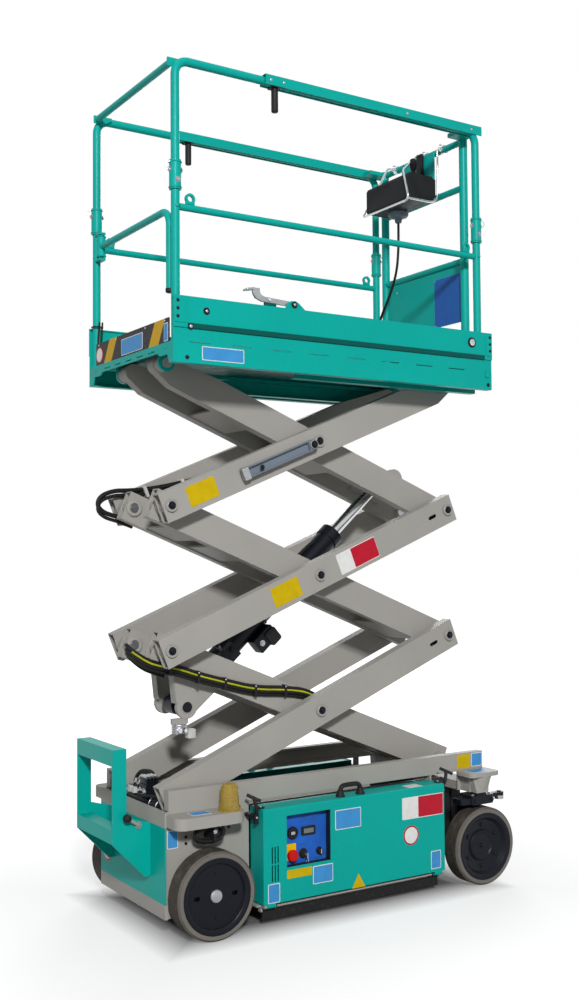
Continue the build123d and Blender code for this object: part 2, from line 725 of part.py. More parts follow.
def rear_corner():
    """Near side of the chassis beside a rear wheel, with its shelf, drive motor and axle."""
    inner = -RAIL_OUT + RAIL_WEB
    side = block(CHASSIS_LEFT, COVER_LEFT - 12, -RAIL_OUT, inner, TRAY_BOTTOM, CHASSIS_TOP)
    drive = round_y(REAR_AXLE_X, WHEEL_R, DRIVE_R, -RAIL_OUT + 4, -RAIL_OUT + DRIVE_LENGTH)
    hub = round_y(REAR_AXLE_X, WHEEL_R, AXLE_SHOULDER_R, -RAIL_OUT - WHEEL_GAP + 9, -RAIL_OUT + 4)
    axle = round_y(REAR_AXLE_X, WHEEL_R, AXLE_R, -HALF_WIDTH + 14, -RAIL_OUT)
    return joined([side, rear_shelf(), drive, hub, axle])


def hinge_ears():
    """Ears and stub pins at the near tray's ends that carry the cover and the pothole guard."""
    pieces = []
    inside = -GUARD_FACE + EAR_REACH
    for x, turn in ((COVER_LEFT, 1), (COVER_RIGHT, -1)):
        first = x + turn * (COVER_SHEET + 2)
        last = first + turn * EAR_T
        pin_end = last + turn * HINGE_PIN_LENGTH
        pieces.append(block(first, last, -COVER_HINGE_Y, inside, TRAY_BOTTOM, COVER_BOTTOM - 1))
        pieces.append(round_x(-COVER_HINGE_Y, COVER_HINGE_Z, HINGE_PIN_R + 3, first, last))
        pieces.append(block(first, last, -GUARD_FACE, inside, GUARD_HINGE_Z - KNUCKLE_R, TRAY_BOTTOM + 2))
        pieces.append(round_x(-COVER_HINGE_Y, COVER_HINGE_Z, HINGE_PIN_R, first, pin_end))
        pieces.append(round_x(-GUARD_HINGE_Y, GUARD_HINGE_Z, HINGE_PIN_R, first, pin_end))
    return pieces


def centre_bay():
    """Near battery bay: tray floor, well wall and the two bulkheads that carry the rail."""
    well = -WELL_HALF_WIDTH
    floor = block(COVER_LEFT - 12, COVER_RIGHT + 12, -GUARD_FACE, well, TRAY_BOTTOM, TRAY_TOP)
    wall = block(CHASSIS_LEFT + PUMP_SHELF + 6, NOSE_RIGHT, well - PLATE, well, TRAY_BOTTOM, AXLE_BEAM_TOP)
    pieces = [floor, wall]
    for x in (COVER_LEFT - 6 - PLATE, COVER_RIGHT + 6):
        pieces.append(block(x, x + PLATE, -RAIL_OUT, well, TRAY_BOTTOM, AXLE_BEAM_TOP))
        pieces.append(block(x, x + PLATE, -RAIL_OUT, -RAIL_IN, AXLE_BEAM_TOP - 2, CHASSIS_TOP + 1))
    return joined(pieces + hinge_ears())


def steering_pod():
    """Near pod over a steered wheel: a hopper on the axle beam, with the kingpin's bore."""
    x0 = FRONT_AXLE_X - POD_LENGTH / 2
    x1 = FRONT_AXLE_X + POD_LENGTH / 2
    cap = block(x0, x1, -HALF_WIDTH + 6, -RAIL_OUT + 2, POD_TOP - 16, POD_TOP)
    cap = fillet(cap.edges().filter_by(Axis.Z).group_by(Axis.Y)[0], POD_CORNER)
    wide = Pos(FRONT_AXLE_X, -WHEEL_Y + 12, POD_TOP - 15) * Rectangle(POD_LENGTH - 20, WHEEL_WIDTH - 26)
    slim = Pos(FRONT_AXLE_X, -WHEEL_Y + 4, AXLE_BEAM_BOTTOM) * Rectangle(POD_LENGTH - 44, WHEEL_WIDTH - 22)
    hopper = loft([slim, wide])
    web = block(x0 + 15, x1 - 15, -WHEEL_Y + 10, -RAIL_OUT + 6, AXLE_BEAM_BOTTOM, POD_TOP - 10)
    post = block(x0, x1, -RAIL_OUT, -RAIL_OUT + RAIL_WEB, AXLE_BEAM_BOTTOM, CHASSIS_TOP + 1)
    pod = joined([cap, hopper, web, post])
    return pod - round_z(FRONT_AXLE_X, -WHEEL_Y, KINGPIN_R + RUN_GAP, AXLE_BEAM_BOTTOM - 1, POD_TOP - 20)


def chassis():
    """Welded chassis: rails, rear box, centre well, nose and front axle beam."""
    near = joined([slide_rail(), rear_corner(), centre_bay(), steering_pod()])
    rear_floor = block(CHASSIS_LEFT, COVER_LEFT - 6, -RAIL_OUT, RAIL_OUT, TRAY_BOTTOM, TRAY_TOP)
    well_floor = block(COVER_LEFT - 12, NOSE_RIGHT, -WELL_HALF_WIDTH, WELL_HALF_WIDTH, TRAY_BOTTOM, TRAY_TOP)
    front = block(NOSE_RIGHT - PLATE, NOSE_RIGHT, -NOSE_HALF_WIDTH, NOSE_HALF_WIDTH,
                  TRAY_BOTTOM, YOKE_BOTTOM - 10)
    axle_beam = block(AXLE_BEAM_LEFT, AXLE_BEAM_RIGHT, -RAIL_OUT, RAIL_OUT, AXLE_BEAM_BOTTOM, AXLE_BEAM_TOP)
    wide = REAR_HALF_WIDTH
    rear_right = CHASSIS_LEFT + PLATE
    rear_bar = block(REAR_FACE, rear_right, -wide, wide, TRAY_BOTTOM, REAR_PANEL_BOTTOM)
    rear_beam = block(REAR_FACE, rear_right, -wide, wide, REAR_PANEL_TOP, CHASSIS_TOP)
    pump_shelf = block(CHASSIS_LEFT, CHASSIS_LEFT + PUMP_SHELF, -RAIL_OUT, RAIL_OUT,
                       AXLE_BEAM_TOP - PLATE, AXLE_BEAM_TOP)
    node("chassis_frame", joined([near, other_side(near), rear_floor, well_floor, front, axle_beam,
                                  rear_bar, rear_beam, pump_shelf]))


def rear_panel():
    """Panel across the entry end, between the chassis's bottom bar and rear beam."""
    wide = REAR_HALF_WIDTH
    node("rear_panel", block(REAR_FACE, CHASSIS_LEFT, -wide, wide, REAR_PANEL_BOTTOM, REAR_PANEL_TOP))


def entry_ladder():
    """Climbing frame at the entry: two gusseted sides with a folded step at the foot and the head."""
    left = LADDER_FRONT
    inner = left + LADDER_DEPTH
    outline = [(left, LADDER_BOTTOM), (left, LADDER_TOP), (inner, LADDER_TOP), (inner, REAR_PANEL_TOP + 30),
               (REAR_FACE, REAR_PANEL_TOP), (REAR_FACE, LADDER_FOOT), (REAR_FACE - 22, LADDER_FOOT)]
    side = plate_xz(outline, -LADDER_HALF_WIDTH, -LADDER_HALF_WIDTH + LADDER_PLATE)
    wide = LADDER_HALF_WIDTH - LADDER_PLATE / 2
    pieces = [side, other_side(side)]
    for low, high, tread in ((LADDER_BOTTOM, LADDER_BOTTOM + LADDER_LOW_BAR, LADDER_BOTTOM + LADDER_LOW_BAR),
                             (LADDER_TOP - LADDER_TOP_BAR, LADDER_TOP, LADDER_TOP)):
        pieces.append(block(left, left + LADDER_PLATE, -wide, wide, low, high))
        pieces.append(block(left, inner, -wide, wide, tread - LADDER_PLATE, tread))
    node("entry_ladder", joined(pieces))


def lashing_lugs():
    """Holed plates on the nose for tying the machine down."""
    high = LASH_Z + LASH_T
    lug = block(NOSE_RIGHT, NOSE_RIGHT + LASH_REACH, -LASH_Y - LASH_HALF_WIDTH, -LASH_Y + LASH_HALF_WIDTH,
                LASH_Z, high)
    lug -= round_z(NOSE_RIGHT + LASH_REACH / 2, -LASH_Y, LASH_HOLE_R, LASH_Z - 1, high + 1)
    node("lashing_lugs", *both_sides(lug))


def hydraulic_unit():
    """Tank, pump motor, valve block and coils on the shelf between the feet of the arms."""
    left = CHASSIS_LEFT + PLATE + 4
    right = left + TANK_LENGTH
    low = AXLE_BEAM_TOP
    high = low + TANK_HEIGHT
    tank = block(left, right, -TANK_HALF_WIDTH, TANK_HALF_WIDTH, low, high)
    tank = fillet(tank.edges().filter_by(Axis.Z), 14)
    valve = block(left + 12, right - 18, -70, -8, high - 1, high + 48)
    pieces = [tank, valve]
    for y in (22, 58):
        pieces.append(round_z(left + 34, y, 15, high - 1, high + 40))
        pieces.append(round_z(left + 34, y, 7, high + 39, high + 52))
    motor_end = -TANK_HALF_WIDTH - PUMP_MOTOR_LENGTH
    pieces.append(round_y(left + 42, low + PUMP_MOTOR_R, PUMP_MOTOR_R, motor_end, -TANK_HALF_WIDTH + 2))
    pieces.append(round_y(left + 42, low + PUMP_MOTOR_R, PUMP_MOTOR_R - 8, motor_end - 7, motor_end + 1))
    pieces.append(block(left + 14, right - 12, TANK_HALF_WIDTH - 2, TANK_HALF_WIDTH + 88, low, low + 44))
    node("hydraulic_unit", joined(pieces))


def battery_packs():
    """Battery blocks in the two side bays."""
    half = (COVER_RIGHT - COVER_LEFT) / 2 - 30
    middle = (COVER_RIGHT + COVER_LEFT) / 2
    packs = []
    for x0, x1 in ((middle - half, middle - BATTERY_GAP / 2), (middle + BATTERY_GAP / 2, middle + half)):
        pack = block(x0, x1, -BATTERY_OUT, -WELL_HALF_WIDTH - PLATE - 4, TRAY_TOP, AXLE_BEAM_TOP - 30)
        packs.append(fillet(pack.edges().filter_by(Axis.Z), 10))
    node("battery_packs", *[solid for pack in packs for solid in both_sides(pack)])


def ground_control():
    """Recessed control panel behind the window of the near cover."""
    face = -COVER_OUT + PANEL_INSET
    low = WINDOW_BOTTOM - PANEL_BEZEL
    high = WINDOW_TOP + PANEL_BEZEL
    panel = block(WINDOW_LEFT - PANEL_BEZEL, WINDOW_RIGHT + PANEL_BEZEL, face, -BATTERY_OUT, low, high)
    upper = WINDOW_BOTTOM + 0.6 * WINDOW_HEIGHT
    lower = WINDOW_BOTTOM + 0.17 * WINDOW_HEIGHT
    pieces = [panel]
    for share, z, radius, depth in ((0.24, upper, 22, 7), (0.21, lower, 20, 22), (0.48, lower, 14, 10),
                                    (0.85, lower, 11, 9)):
        x = WINDOW_LEFT + share * WINDOW_LENGTH
        pieces.append(round_y(x, z, radius, face - depth, face + 2))
    screen = WINDOW_LEFT + 0.6 * WINDOW_LENGTH
    pieces.append(block(screen - 28, screen + 28, face - 5, face + 2, upper - 12, upper + 14))
    node("ground_control", joined(pieces))


def beacon():
    """Flashing lamp on the near rear shelf."""
    face = make_face(Polyline(*[(x, 0, z) for x, z in BEACON_PROFILE], close=True))
    node("beacon", Pos(BEACON_X, -BEACON_Y, SHELF_TOP) * revolve(face, Axis.Z))


def side_cover(window):
    """Near side cover: a folded box open inwards and hinged along its bottom outer edge."""
    inner = COVER_OUT - COVER_DEPTH
    sheet = COVER_SHEET
    front = -COVER_OUT - 1
    back = -COVER_OUT + sheet + 1
    cover = block(COVER_LEFT, COVER_RIGHT, -COVER_OUT, -inner, COVER_BOTTOM, COVER_TOP)
    cover = fillet(cover.edges().filter_by(Axis.X).group_by(Axis.Z)[-1].group_by(Axis.Y)[:1], COVER_CORNER)
    cover -= block(COVER_LEFT + sheet, COVER_RIGHT - sheet, -COVER_OUT + sheet, -inner + 1,
                   COVER_BOTTOM - 1, COVER_TOP - sheet)
    if window:
        cover -= block(WINDOW_LEFT, WINDOW_RIGHT, front, back, WINDOW_BOTTOM, WINDOW_TOP)
    for x, turn in ((COVER_LEFT, 1), (COVER_RIGHT, -1)):
        first = x + turn * (sheet + 2 + EAR_T + RUN_GAP)
        last = first + turn * KNUCKLE_LENGTH
        tube = round_x(-COVER_HINGE_Y, COVER_HINGE_Z, KNUCKLE_R, first, last)
        web = block(first, last, -COVER_OUT, -COVER_HINGE_Y, COVER_HINGE_Z, COVER_BOTTOM + 12)
        cover += joined([tube, web])
        cover -= round_x(-COVER_HINGE_Y, COVER_HINGE_Z, HINGE_PIN_R + RUN_GAP, first - turn, last + turn)
    for z in VENT_ROWS:
        for count in (0, 1, 2):
            x = COVER_LEFT + VENT_FIRST + count * VENT_PITCH
            cover -= block(x, x + VENT_WIDTH, front, back, z, z + VENT_HEIGHT)
    return cover


def pothole_guard():
    """Near guard plate that hangs under the tray and folds inwards when the deck is down."""
    inset = COVER_SHEET + 2 + EAR_T + RUN_GAP
    x0 = COVER_LEFT + inset
    x1 = COVER_RIGHT - inset
    y0 = -GUARD_HINGE_Y - KNUCKLE_R
    plate = block(x0, x1, y0, y0 + GUARD_T, GUARD_BOTTOM, GUARD_HINGE_Z)
    lip = block(x0, x1, y0, -GUARD_HINGE_Y + KNUCKLE_R, GUARD_BOTTOM, GUARD_BOTTOM + GUARD_T)
    tube = round_x(-GUARD_HINGE_Y, GUARD_HINGE_Z, KNUCKLE_R, x0, x1)
    guard = joined([plate, lip, tube])
    return guard - round_x(-GUARD_HINGE_Y, GUARD_HINGE_Z, HINGE_PIN_R + RUN_GAP, x0 - 1, x1 + 1)


def covers_and_guards():
    """Covers and pothole guards of both sides."""
    node("side_cover_near", side_cover(True))
    node("side_cover_far", other_side(side_cover(False)))
    node("pothole_guard_near", pothole_guard())
    node("pothole_guard_far", other_side(pothole_guard()))


# Wheels and steering
def spun(profile, x):
    """Near wheel piece turned about its axle, from radii and distances in from its outer face."""
    outline = Polyline(*[(x + r, -HALF_WIDTH + y, WHEEL_R) for r, y in profile], close=True)
    axis = Axis((x, 0, WHEEL_R), (0, 1, 0))
    return revolve(make_face(outline), axis)


def tyre(x):
    """Solid tyre with chamfered shoulders."""
    edge = TYRE_EDGE
    profile = [(RIM_R, 2), (WHEEL_R - edge, 0), (WHEEL_R, edge), (WHEEL_R, WHEEL_WIDTH - edge),
               (WHEEL_R - edge, WHEEL_WIDTH), (RIM_R, WHEEL_WIDTH - 2)]
    return spun(profile, x)


def rear_wheel(x):
    """Flat disc wheel with two lug holes and a hub."""
    bore = AXLE_R + RUN_GAP
    back = WHEEL_WIDTH - RIM_LIP
    face = 14.0
    hub = AXLE_SHOULDER_R + 5
    profile = [(bore, face), (RIM_R - 12, face), (RIM_R - 8, RIM_LIP), (RIM_R, RIM_LIP), (RIM_R, back),
               (RIM_R - 8, back), (RIM_R - 12, face + 12), (hub, face + 12), (hub, back), (bore, back)]
    wheel = spun(profile, x)
    long = LUG_HOLE_LENGTH / 2
    high = LUG_HOLE_HEIGHT / 2
    for turn in (-1, 1):
        middle = x + turn * LUG_HOLE_X
        wheel -= block(middle - long, middle + long, -HALF_WIDTH, -HALF_WIDTH + 40,
                       WHEEL_R - high, WHEEL_R + high)
    return wheel


def front_wheel(x):
    """Deep dished wheel of a steered corner."""
    bore = AXLE_R + RUN_GAP
    back = WHEEL_WIDTH - RIM_LIP
    dish = 40.0
    hub = AXLE_SHOULDER_R + 5
    profile = [(bore, dish), (hub + 8, dish), (hub + 16, dish - 10), (RIM_R - 20, dish - 18),
               (RIM_R - 8, RIM_LIP), (RIM_R, RIM_LIP), (RIM_R, back), (RIM_R - 8, back),
               (RIM_R - 20, dish - 6), (hub + 20, dish + 4), (hub + 10, dish + 16), (hub, back), (bore, back)]
    return spun(profile, x)


def knuckle():
    """Near steering yoke: kingpin, top plate, inner leg, stub axle and track arm."""
    x = FRONT_AXLE_X
    inner = HALF_WIDTH - WHEEL_WIDTH - 4
    long = YOKE_HALF_LENGTH
    arm_x = x + TRACK_ARM
    arm_low = TIE_ROD_Z + 3
    arm_high = arm_low + YOKE_LEG_T
    top = block(x - long, x + long, -WHEEL_Y - 36, -inner + YOKE_LEG_T, YOKE_BOTTOM + 4, YOKE_TOP - 2)
    top = fillet(top.edges().filter_by(Axis.Z), 18)
    leg = block(x - long + 17, x + long - 17, -inner, -inner + YOKE_LEG_T, YOKE_LEG_BOTTOM, YOKE_TOP - 2)
    pin = round_z(x, -WHEEL_Y, KINGPIN_R, YOKE_TOP - 4, POD_TOP - 24)
    seat = round_z(x, -WHEEL_Y, KINGPIN_R + 10, YOKE_TOP - 4, AXLE_BEAM_BOTTOM - RUN_GAP)
    axle = round_y(x, WHEEL_R, AXLE_R, -HALF_WIDTH + 44, -inner + 4)
    shoulder = round_y(x, WHEEL_R, AXLE_SHOULDER_R, -inner - 4, -inner + 4)
    arm = block(x + long - 12, arm_x, -WHEEL_Y - 14, -WHEEL_Y + 14, arm_low, arm_high)
    arm += round_z(arm_x, -WHEEL_Y, TRACK_ARM_R, arm_low, arm_high)
    arm += round_z(arm_x, -WHEEL_Y, TRACK_PIN_R, TIE_ROD_Z + 2 - TIE_ROD_T, arm_low + 2)
    return joined([top, leg, pin, seat, axle, shoulder, arm])


def steering():
    """Knuckles of both front wheels and the rod between them."""
    node("steer_knuckle_near", knuckle())
    node("steer_knuckle_far", other_side(knuckle()))
    x = FRONT_AXLE_X + TRACK_ARM
    high = TIE_ROD_Z + 2
    low = high - TIE_ROD_T
    rod = round_y(x, (low + high) / 2, TIE_ROD_R, -WHEEL_Y + 12, WHEEL_Y - 12)
    for y in (-WHEEL_Y, WHEEL_Y):
        rod += round_z(x, y, TRACK_ARM_R, low, high)
    for y in (-WHEEL_Y, WHEEL_Y):
        rod -= round_z(x, y, TRACK_PIN_R + RUN_GAP, low - 1, high + 1)
    node("tie_rod", rod)


def wheels():
    """Four tyres and wheels."""
    for name, x, wheel in (("rear", REAR_AXLE_X, rear_wheel), ("front", FRONT_AXLE_X, front_wheel)):
        node(f"{name}_tyre_near", tyre(x))
        node(f"{name}_tyre_far", other_side(tyre(x)))
        node(f"{name}_wheel_near", wheel(x))
        node(f"{name}_wheel_far", other_side(wheel(x)))


# Platform
def end_beam(edge):
    """Beam across the entry end, with a raised bottom edge and a row of slits."""
    left = PLATFORM_LEFT
    right = left + PANEL_T
    notch = PANEL_BOTTOM + END_NOTCH_RISE
    middle = PANEL_BOTTOM + END_MIDDLE_RISE
    half = [(edge, PANEL_BOTTOM), (END_NOTCH_HALF_WIDTH + 16, PANEL_BOTTOM), (END_NOTCH_HALF_WIDTH, notch),
            (END_MIDDLE_HALF_WIDTH + 20, notch), (END_MIDDLE_HALF_WIDTH, middle)]
    bottom = half + [(-y, z) for y, z in reversed(half)]
    beam_plate = plate_yz(bottom + [(-edge, DECK_TOP + 6), (edge, DECK_TOP + 6)], left, right)
    pitch = 2 * END_MIDDLE_HALF_WIDTH / 5
    slit = DECK_BOTTOM - 14
    for count in range(5):
        y = (count - 2) * pitch
        beam_plate -= block(left - 1, right + 1, y - 30, y + 30, slit, slit + SLIT_HEIGHT)
    return beam_plate


def platform_frame():
    """Frame under the deck: runners for the upper rollers, sills, brackets of the top pins, end beam."""
    edge = HALF_WIDTH - PANEL_STEP - PANEL_T
    half = ROLLER_R + RUN_GAP
    right = PLATFORM_RIGHT
    runner = block(RUNNER_LEFT, right, -RAIL_OUT, -RAIL_IN, TOP_PIN_Z - half - RUNNER_FLANGE, DECK_BOTTOM)
    runner -= block(RUNNER_LEFT - 1, right + 1, -RAIL_OUT + RAIL_WEB, -RAIL_IN + 1,
                    TOP_PIN_Z - half, TOP_PIN_Z + half)
    sill = block(PLATFORM_LEFT, RUNNER_LEFT + 10, -RAIL_OUT, -RAIL_IN, DECK_BOTTOM - SILL_T, DECK_BOTTOM)
    ear_out = -OUTER_BEAM_IN - PIN_EAR_T
    ear_left = BASE_PIN_X - PIN_EAR_R
    ear_right = BASE_PIN_X + PIN_EAR_R + 26
    ear = block(ear_left, ear_right, ear_out, -OUTER_BEAM_IN, TOP_PIN_Z, DECK_BOTTOM)
    ear += round_y(BASE_PIN_X, TOP_PIN_Z, PIN_EAR_R, ear_out, -OUTER_BEAM_IN)
    ear += block(ear_left, ear_right, -RAIL_IN - 2, ear_out + 2, DECK_BOTTOM - SILL_T, DECK_BOTTOM)
    ear -= round_y(BASE_PIN_X, TOP_PIN_Z, PIN_R + RUN_GAP, ear_out - 1, -OUTER_BEAM_IN + 1)
    near = joined([runner, sill, ear])
    node("platform_frame", joined([near, other_side(near), end_beam(edge)]))


def platform_deck():
    """Main deck plate with its turned-down right edge."""
    edge = HALF_WIDTH - PANEL_STEP - PANEL_T
    right = PLATFORM_RIGHT
    deck = block(PLATFORM_LEFT + PANEL_T, right, -edge, edge, DECK_BOTTOM, DECK_TOP)
    tail_half = OUTER_BEAM_IN - 6
    tail_low = PANEL_BOTTOM + END_NOTCH_RISE
    tail = block(right - PANEL_T, right, -tail_half, tail_half, tail_low, DECK_BOTTOM + 1)
    node("platform_deck", joined([deck, tail]))


def side_panel():
    """Near side panel: folded sheet, stepped out above the groove, slit along the deck."""
    y0 = -HALF_WIDTH
    y1 = y0 + PANEL_STEP
    left = PLATFORM_LEFT
    right = PLATFORM_RIGHT
    upper = block(left, right, y0, y0 + PANEL_T, PANEL_STEP_Z, PANEL_TOP)
    lower = block(left, right, y1, y1 + PANEL_T, PANEL_BOTTOM, PANEL_STEP_Z + 6)
    fold = block(left, right, y0, y1 + PANEL_T, PANEL_STEP_Z, PANEL_STEP_Z + 6)
    top = block(left, right, y0, y0 + PANEL_LIP, PANEL_TOP - 5, PANEL_TOP)
    foot = block(left + PANEL_T, right, y1, y0 + PANEL_FOOT, PANEL_BOTTOM, PANEL_BOTTOM + 5)
    panel = joined([upper, lower, fold, top, foot])
    margin = 68.0
    pitch = (right - left - margin - 66) / SLIT_COUNT
    slit = DECK_TOP + 2
    for count in range(SLIT_COUNT):
        x = left + margin + count * pitch
        panel -= block(x, x + SLIT_LENGTH, y1 - 1, y1 + PANEL_T + 1, slit, slit + SLIT_HEIGHT)
    for x in (left + 138, right - 118):
        panel -= round_y(x, PANEL_TOP - 50, 9, y0 - 1, y0 + PANEL_T + 1)
    return panel


def side_panels():
    """Both side panels."""
    node("side_panels", *both_sides(side_panel()))


def toe_board():
    """Striped kick board across the entry."""
    edge = HALF_WIDTH - TOE_INSET
    left = PLATFORM_LEFT + PANEL_T + 2
    node("entry_toe_board", block(left, left + TOE_T, -edge, edge, DECK_TOP, TOE_TOP))


def guard_rails():
    """Side hoops with their collars and mid rails."""
    points = [(POST_LEFT_X, -POST_Y, DECK_TOP), (POST_LEFT_X, -POST_Y, HOOP_Z),
              (POST_RIGHT_X, -POST_Y, HOOP_Z), (POST_RIGHT_X, -POST_Y, DECK_TOP)]
    hoop = bent_tube(points, HOOP_BEND, RAIL_TUBE_R, RAIL_TUBE_WALL)
    collars = []
    for x in (POST_LEFT_X, POST_RIGHT_X):
        sleeve = round_z(x, -POST_Y, COLLAR_R, COLLAR_BOTTOM, COLLAR_TOP)
        collars.append(sleeve - round_z(x, -POST_Y, RAIL_TUBE_R - 1, COLLAR_BOTTOM - 1, COLLAR_TOP + 1))
    reach = RAIL_TUBE_R - RAIL_TUBE_WALL / 2
    mid = round_x(-POST_Y, MID_RAIL_Z, MID_RAIL_R, POST_LEFT_X + reach, POST_RIGHT_X - reach)
    node("guard_rails", *both_sides(joined([hoop, mid] + collars)))


def entry_top_bar():
    """Bar across the entry, pinned to plates on the corners of the hoops."""
    x = POST_LEFT_X - 6
    z = HOOP_Z - 4
    seat = POST_Y - RAIL_TUBE_R
    reach = seat - ENTRY_PLATE
    edge = ENTRY_BAR_R + 2
    bar = round_y(x, z, ENTRY_BAR_R, -reach - 1, reach + 1)
    outline = [(x - edge, z - edge), (x + 30, z - edge), (x + 66, z + 4), (x + 66, z + edge),
               (x - edge, z + edge)]
    plate = plate_xz(outline, -seat, -reach)
    node("entry_top_bar", joined([bar, plate, other_side(plate)]))


def anchor_eyes():
    """Eyes on the mid rails for harness hooks."""
    y0 = -POST_Y - EYE_PLATE_T / 2
    y1 = -POST_Y + EYE_PLATE_T / 2
    seat = MID_RAIL_Z + MID_RAIL_R
    z = seat + EYE_PLATE_R + 1
    eyes = []
    for x in (POST_LEFT_X + EYE_POST_GAP, POST_RIGHT_X - EYE_POST_GAP):
        eye = round_y(x, z, EYE_PLATE_R, y0, y1)
        eye += block(x - EYE_PLATE_R + 3, x + EYE_PLATE_R - 3, y0, y1, seat, z)
        eyes.append(eye - round_y(x, z, EYE_HOLE_R, y0 - 1, y1 + 1))
    node("anchor_eyes", *[solid for eye in eyes for solid in both_sides(eye)])


def deck_lock_pedal():
    """Bent pedal on the near panel that locks the sliding deck."""
    x = PEDAL_X
    z = PANEL_TOP
    low = [(x - PEDAL_LENGTH, z + PEDAL_RISE), (x - PEDAL_BEND, z + PEDAL_STEP),
           (x - PEDAL_FOOT, z + PEDAL_SHEET), (x - PEDAL_FOOT, z)]
    high = [(x, z), (x, z + 2 * PEDAL_SHEET), (x - PEDAL_FOOT + PEDAL_SHEET, z + 2 * PEDAL_SHEET),
            (x - PEDAL_BEND + PEDAL_SHEET, z + PEDAL_STEP + PEDAL_SHEET),
            (x - PEDAL_LENGTH, z + PEDAL_RISE + PEDAL_SHEET)]
    y0 = -HALF_WIDTH + 2
    node("deck_lock_pedal", plate_xz(high + low, y0, y0 + PEDAL_WIDTH))


def entry_gate():
    """L-shaped gate hung on the far left post, which swings in."""
    z = MID_RAIL_Z
    x = POST_LEFT_X
    half = GATE_SLEEVE_LENGTH / 2
    arm = bent_tube([(x, GATE_HINGE_Y, z), (x, -GATE_HINGE_Y, z), (x, -GATE_HINGE_Y, GATE_BOTTOM)],
                    GATE_BEND, GATE_TUBE_R, RAIL_TUBE_WALL)
    sleeve = round_z(x, GATE_HINGE_Y, GATE_SLEEVE_R, z - half, z + half)
    core = round_z(x, GATE_HINGE_Y, GATE_PIN_R + RUN_GAP, z - half - 1, z + half + 1)
    node("entry_gate", joined([arm, sleeve]) - core)


def gate_bracket():
    """Hinge bracket of the gate on the far left post."""
    x = POST_LEFT_X
    half = GATE_SLEEVE_LENGTH / 2 + 5
    far = POST_Y - RAIL_TUBE_R
    bottom = MID_RAIL_Z - half - GATE_LUG_T
    top = MID_RAIL_Z + half
    bracket = round_z(x, GATE_HINGE_Y, GATE_PIN_R, bottom, top + GATE_LUG_T)
    for low in (bottom, top):
        bracket += block(x - 14, x + 14, GATE_HINGE_Y - 14, far, low, low + GATE_LUG_T)
    node("gate_bracket", bracket)


# Sliding deck
def extension_deck():
    """Sliding deck plate with its end kick board and the gland of the control cable."""
    wide = SLIDE_HALF_WIDTH
    deck = block(SLIDE_LEFT, SLIDE_RIGHT, -wide, wide, SLIDE_BOTTOM, SLIDE_TOP)
    board = block(SLIDE_RIGHT - PANEL_T, SLIDE_RIGHT, -wide, wide, SLIDE_BOTTOM, PANEL_TOP - 12)
    pads = []
    for x in (SLIDE_LEFT + PAD_INSET, SLIDE_LEFT + PAD_INSET + PAD_PITCH):
        for y in (-wide + PAD_INSET, wide - PAD_INSET - PAD_WIDTH):
            pads.append(block(x, x + PAD_LENGTH, y, y + PAD_WIDTH, DECK_TOP + RUN_GAP, SLIDE_BOTTOM + 1))
    gland = round_z(SLIDE_RIGHT - DECK_GLAND_IN, wide - DECK_GLAND_INSET, CABLE_R + GLAND_WALL,
                    SLIDE_TOP - 1, SLIDE_TOP + DECK_GLAND_RISE)
    node("extension_deck", joined([deck, board, gland] + pads))


def top_channel():
    """Near inverted U rail that slides along the hoop."""
    inner = RAIL_TUBE_R + CHANNEL_GAP
    outer = inner + CHANNEL_SHEET
    rail = block(CHANNEL_LEFT, CHANNEL_RIGHT, -POST_Y - outer, -POST_Y + outer, CHANNEL_LOW, TOP_Z)
    rail -= block(CHANNEL_LEFT - 1, CHANNEL_RIGHT + 1, -POST_Y - inner, -POST_Y + inner,
                  CHANNEL_LOW - 1, TOP_Z - CHANNEL_SHEET)
    return rail


def push_handle():
    """Near grip under a channel's left end, for pushing the deck out."""
    x = CHANNEL_LEFT + HANDLE_IN
    outer = RAIL_TUBE_R + CHANNEL_GAP + CHANNEL_SHEET
    plate_low = CHANNEL_LOW - CHANNEL_SHEET
    grip = round_z(x, -POST_Y, HANDLE_R, plate_low - HANDLE_LENGTH, plate_low + 1)
    grip = fillet(grip.edges().group_by(Axis.Z)[0], 6)
    long = HANDLE_R + 6
    plate = block(x - long, x + long, -POST_Y - outer, -POST_Y + outer, plate_low, CHANNEL_LOW)
    return grip + plate


def end_frame():
    """End frame of the sliding deck with its bars, lower plate and links to the channels."""
    x = POST_RIGHT_X
    inner = POST_Y - RAIL_TUBE_R - CHANNEL_GAP - CHANNEL_SHEET
    top = END_TOP_BAR_Z + END_BAR_R + 2
    post = round_z(x, -END_POST_Y, END_POST_R, SLIDE_TOP, top)
    link = block(x - 90, x, -inner, -END_POST_Y, top - 18, top)
    near = joined([post, link])
    reach = END_POST_Y
    pieces = [near, other_side(near)]
    for z in (END_TOP_BAR_Z, END_MID_BAR_Z, END_PLATE_TOP):
        pieces.append(round_y(x, z, END_BAR_R, -reach, reach))
    pieces.append(block(x - 2, x + 2, -reach, reach, END_PLATE_BOTTOM, END_PLATE_TOP))
    return joined(pieces)


def control_box():
    """Control box hooked on the end frame, with the gland of its cable."""
    box = block(BOX_LEFT, BOX_RIGHT, BOX_NEAR, BOX_FAR, BOX_BOTTOM, BOX_TOP)
    box = fillet(box.edges().filter_by(Axis.Y), BOX_CORNER)
    hook = block(BOX_RIGHT - 2, POST_RIGHT_X - END_BAR_R, -40, 70, END_MID_BAR_Z - 12, END_MID_BAR_Z + 12)
    gland = round_z(BOX_RIGHT - BOX_GLAND_IN, BOX_GLAND_Y, CABLE_R + GLAND_WALL,
                    BOX_BOTTOM - BOX_GLAND_DROP, BOX_BOTTOM + 1)
    node("control_box", joined([box, hook, gland]))


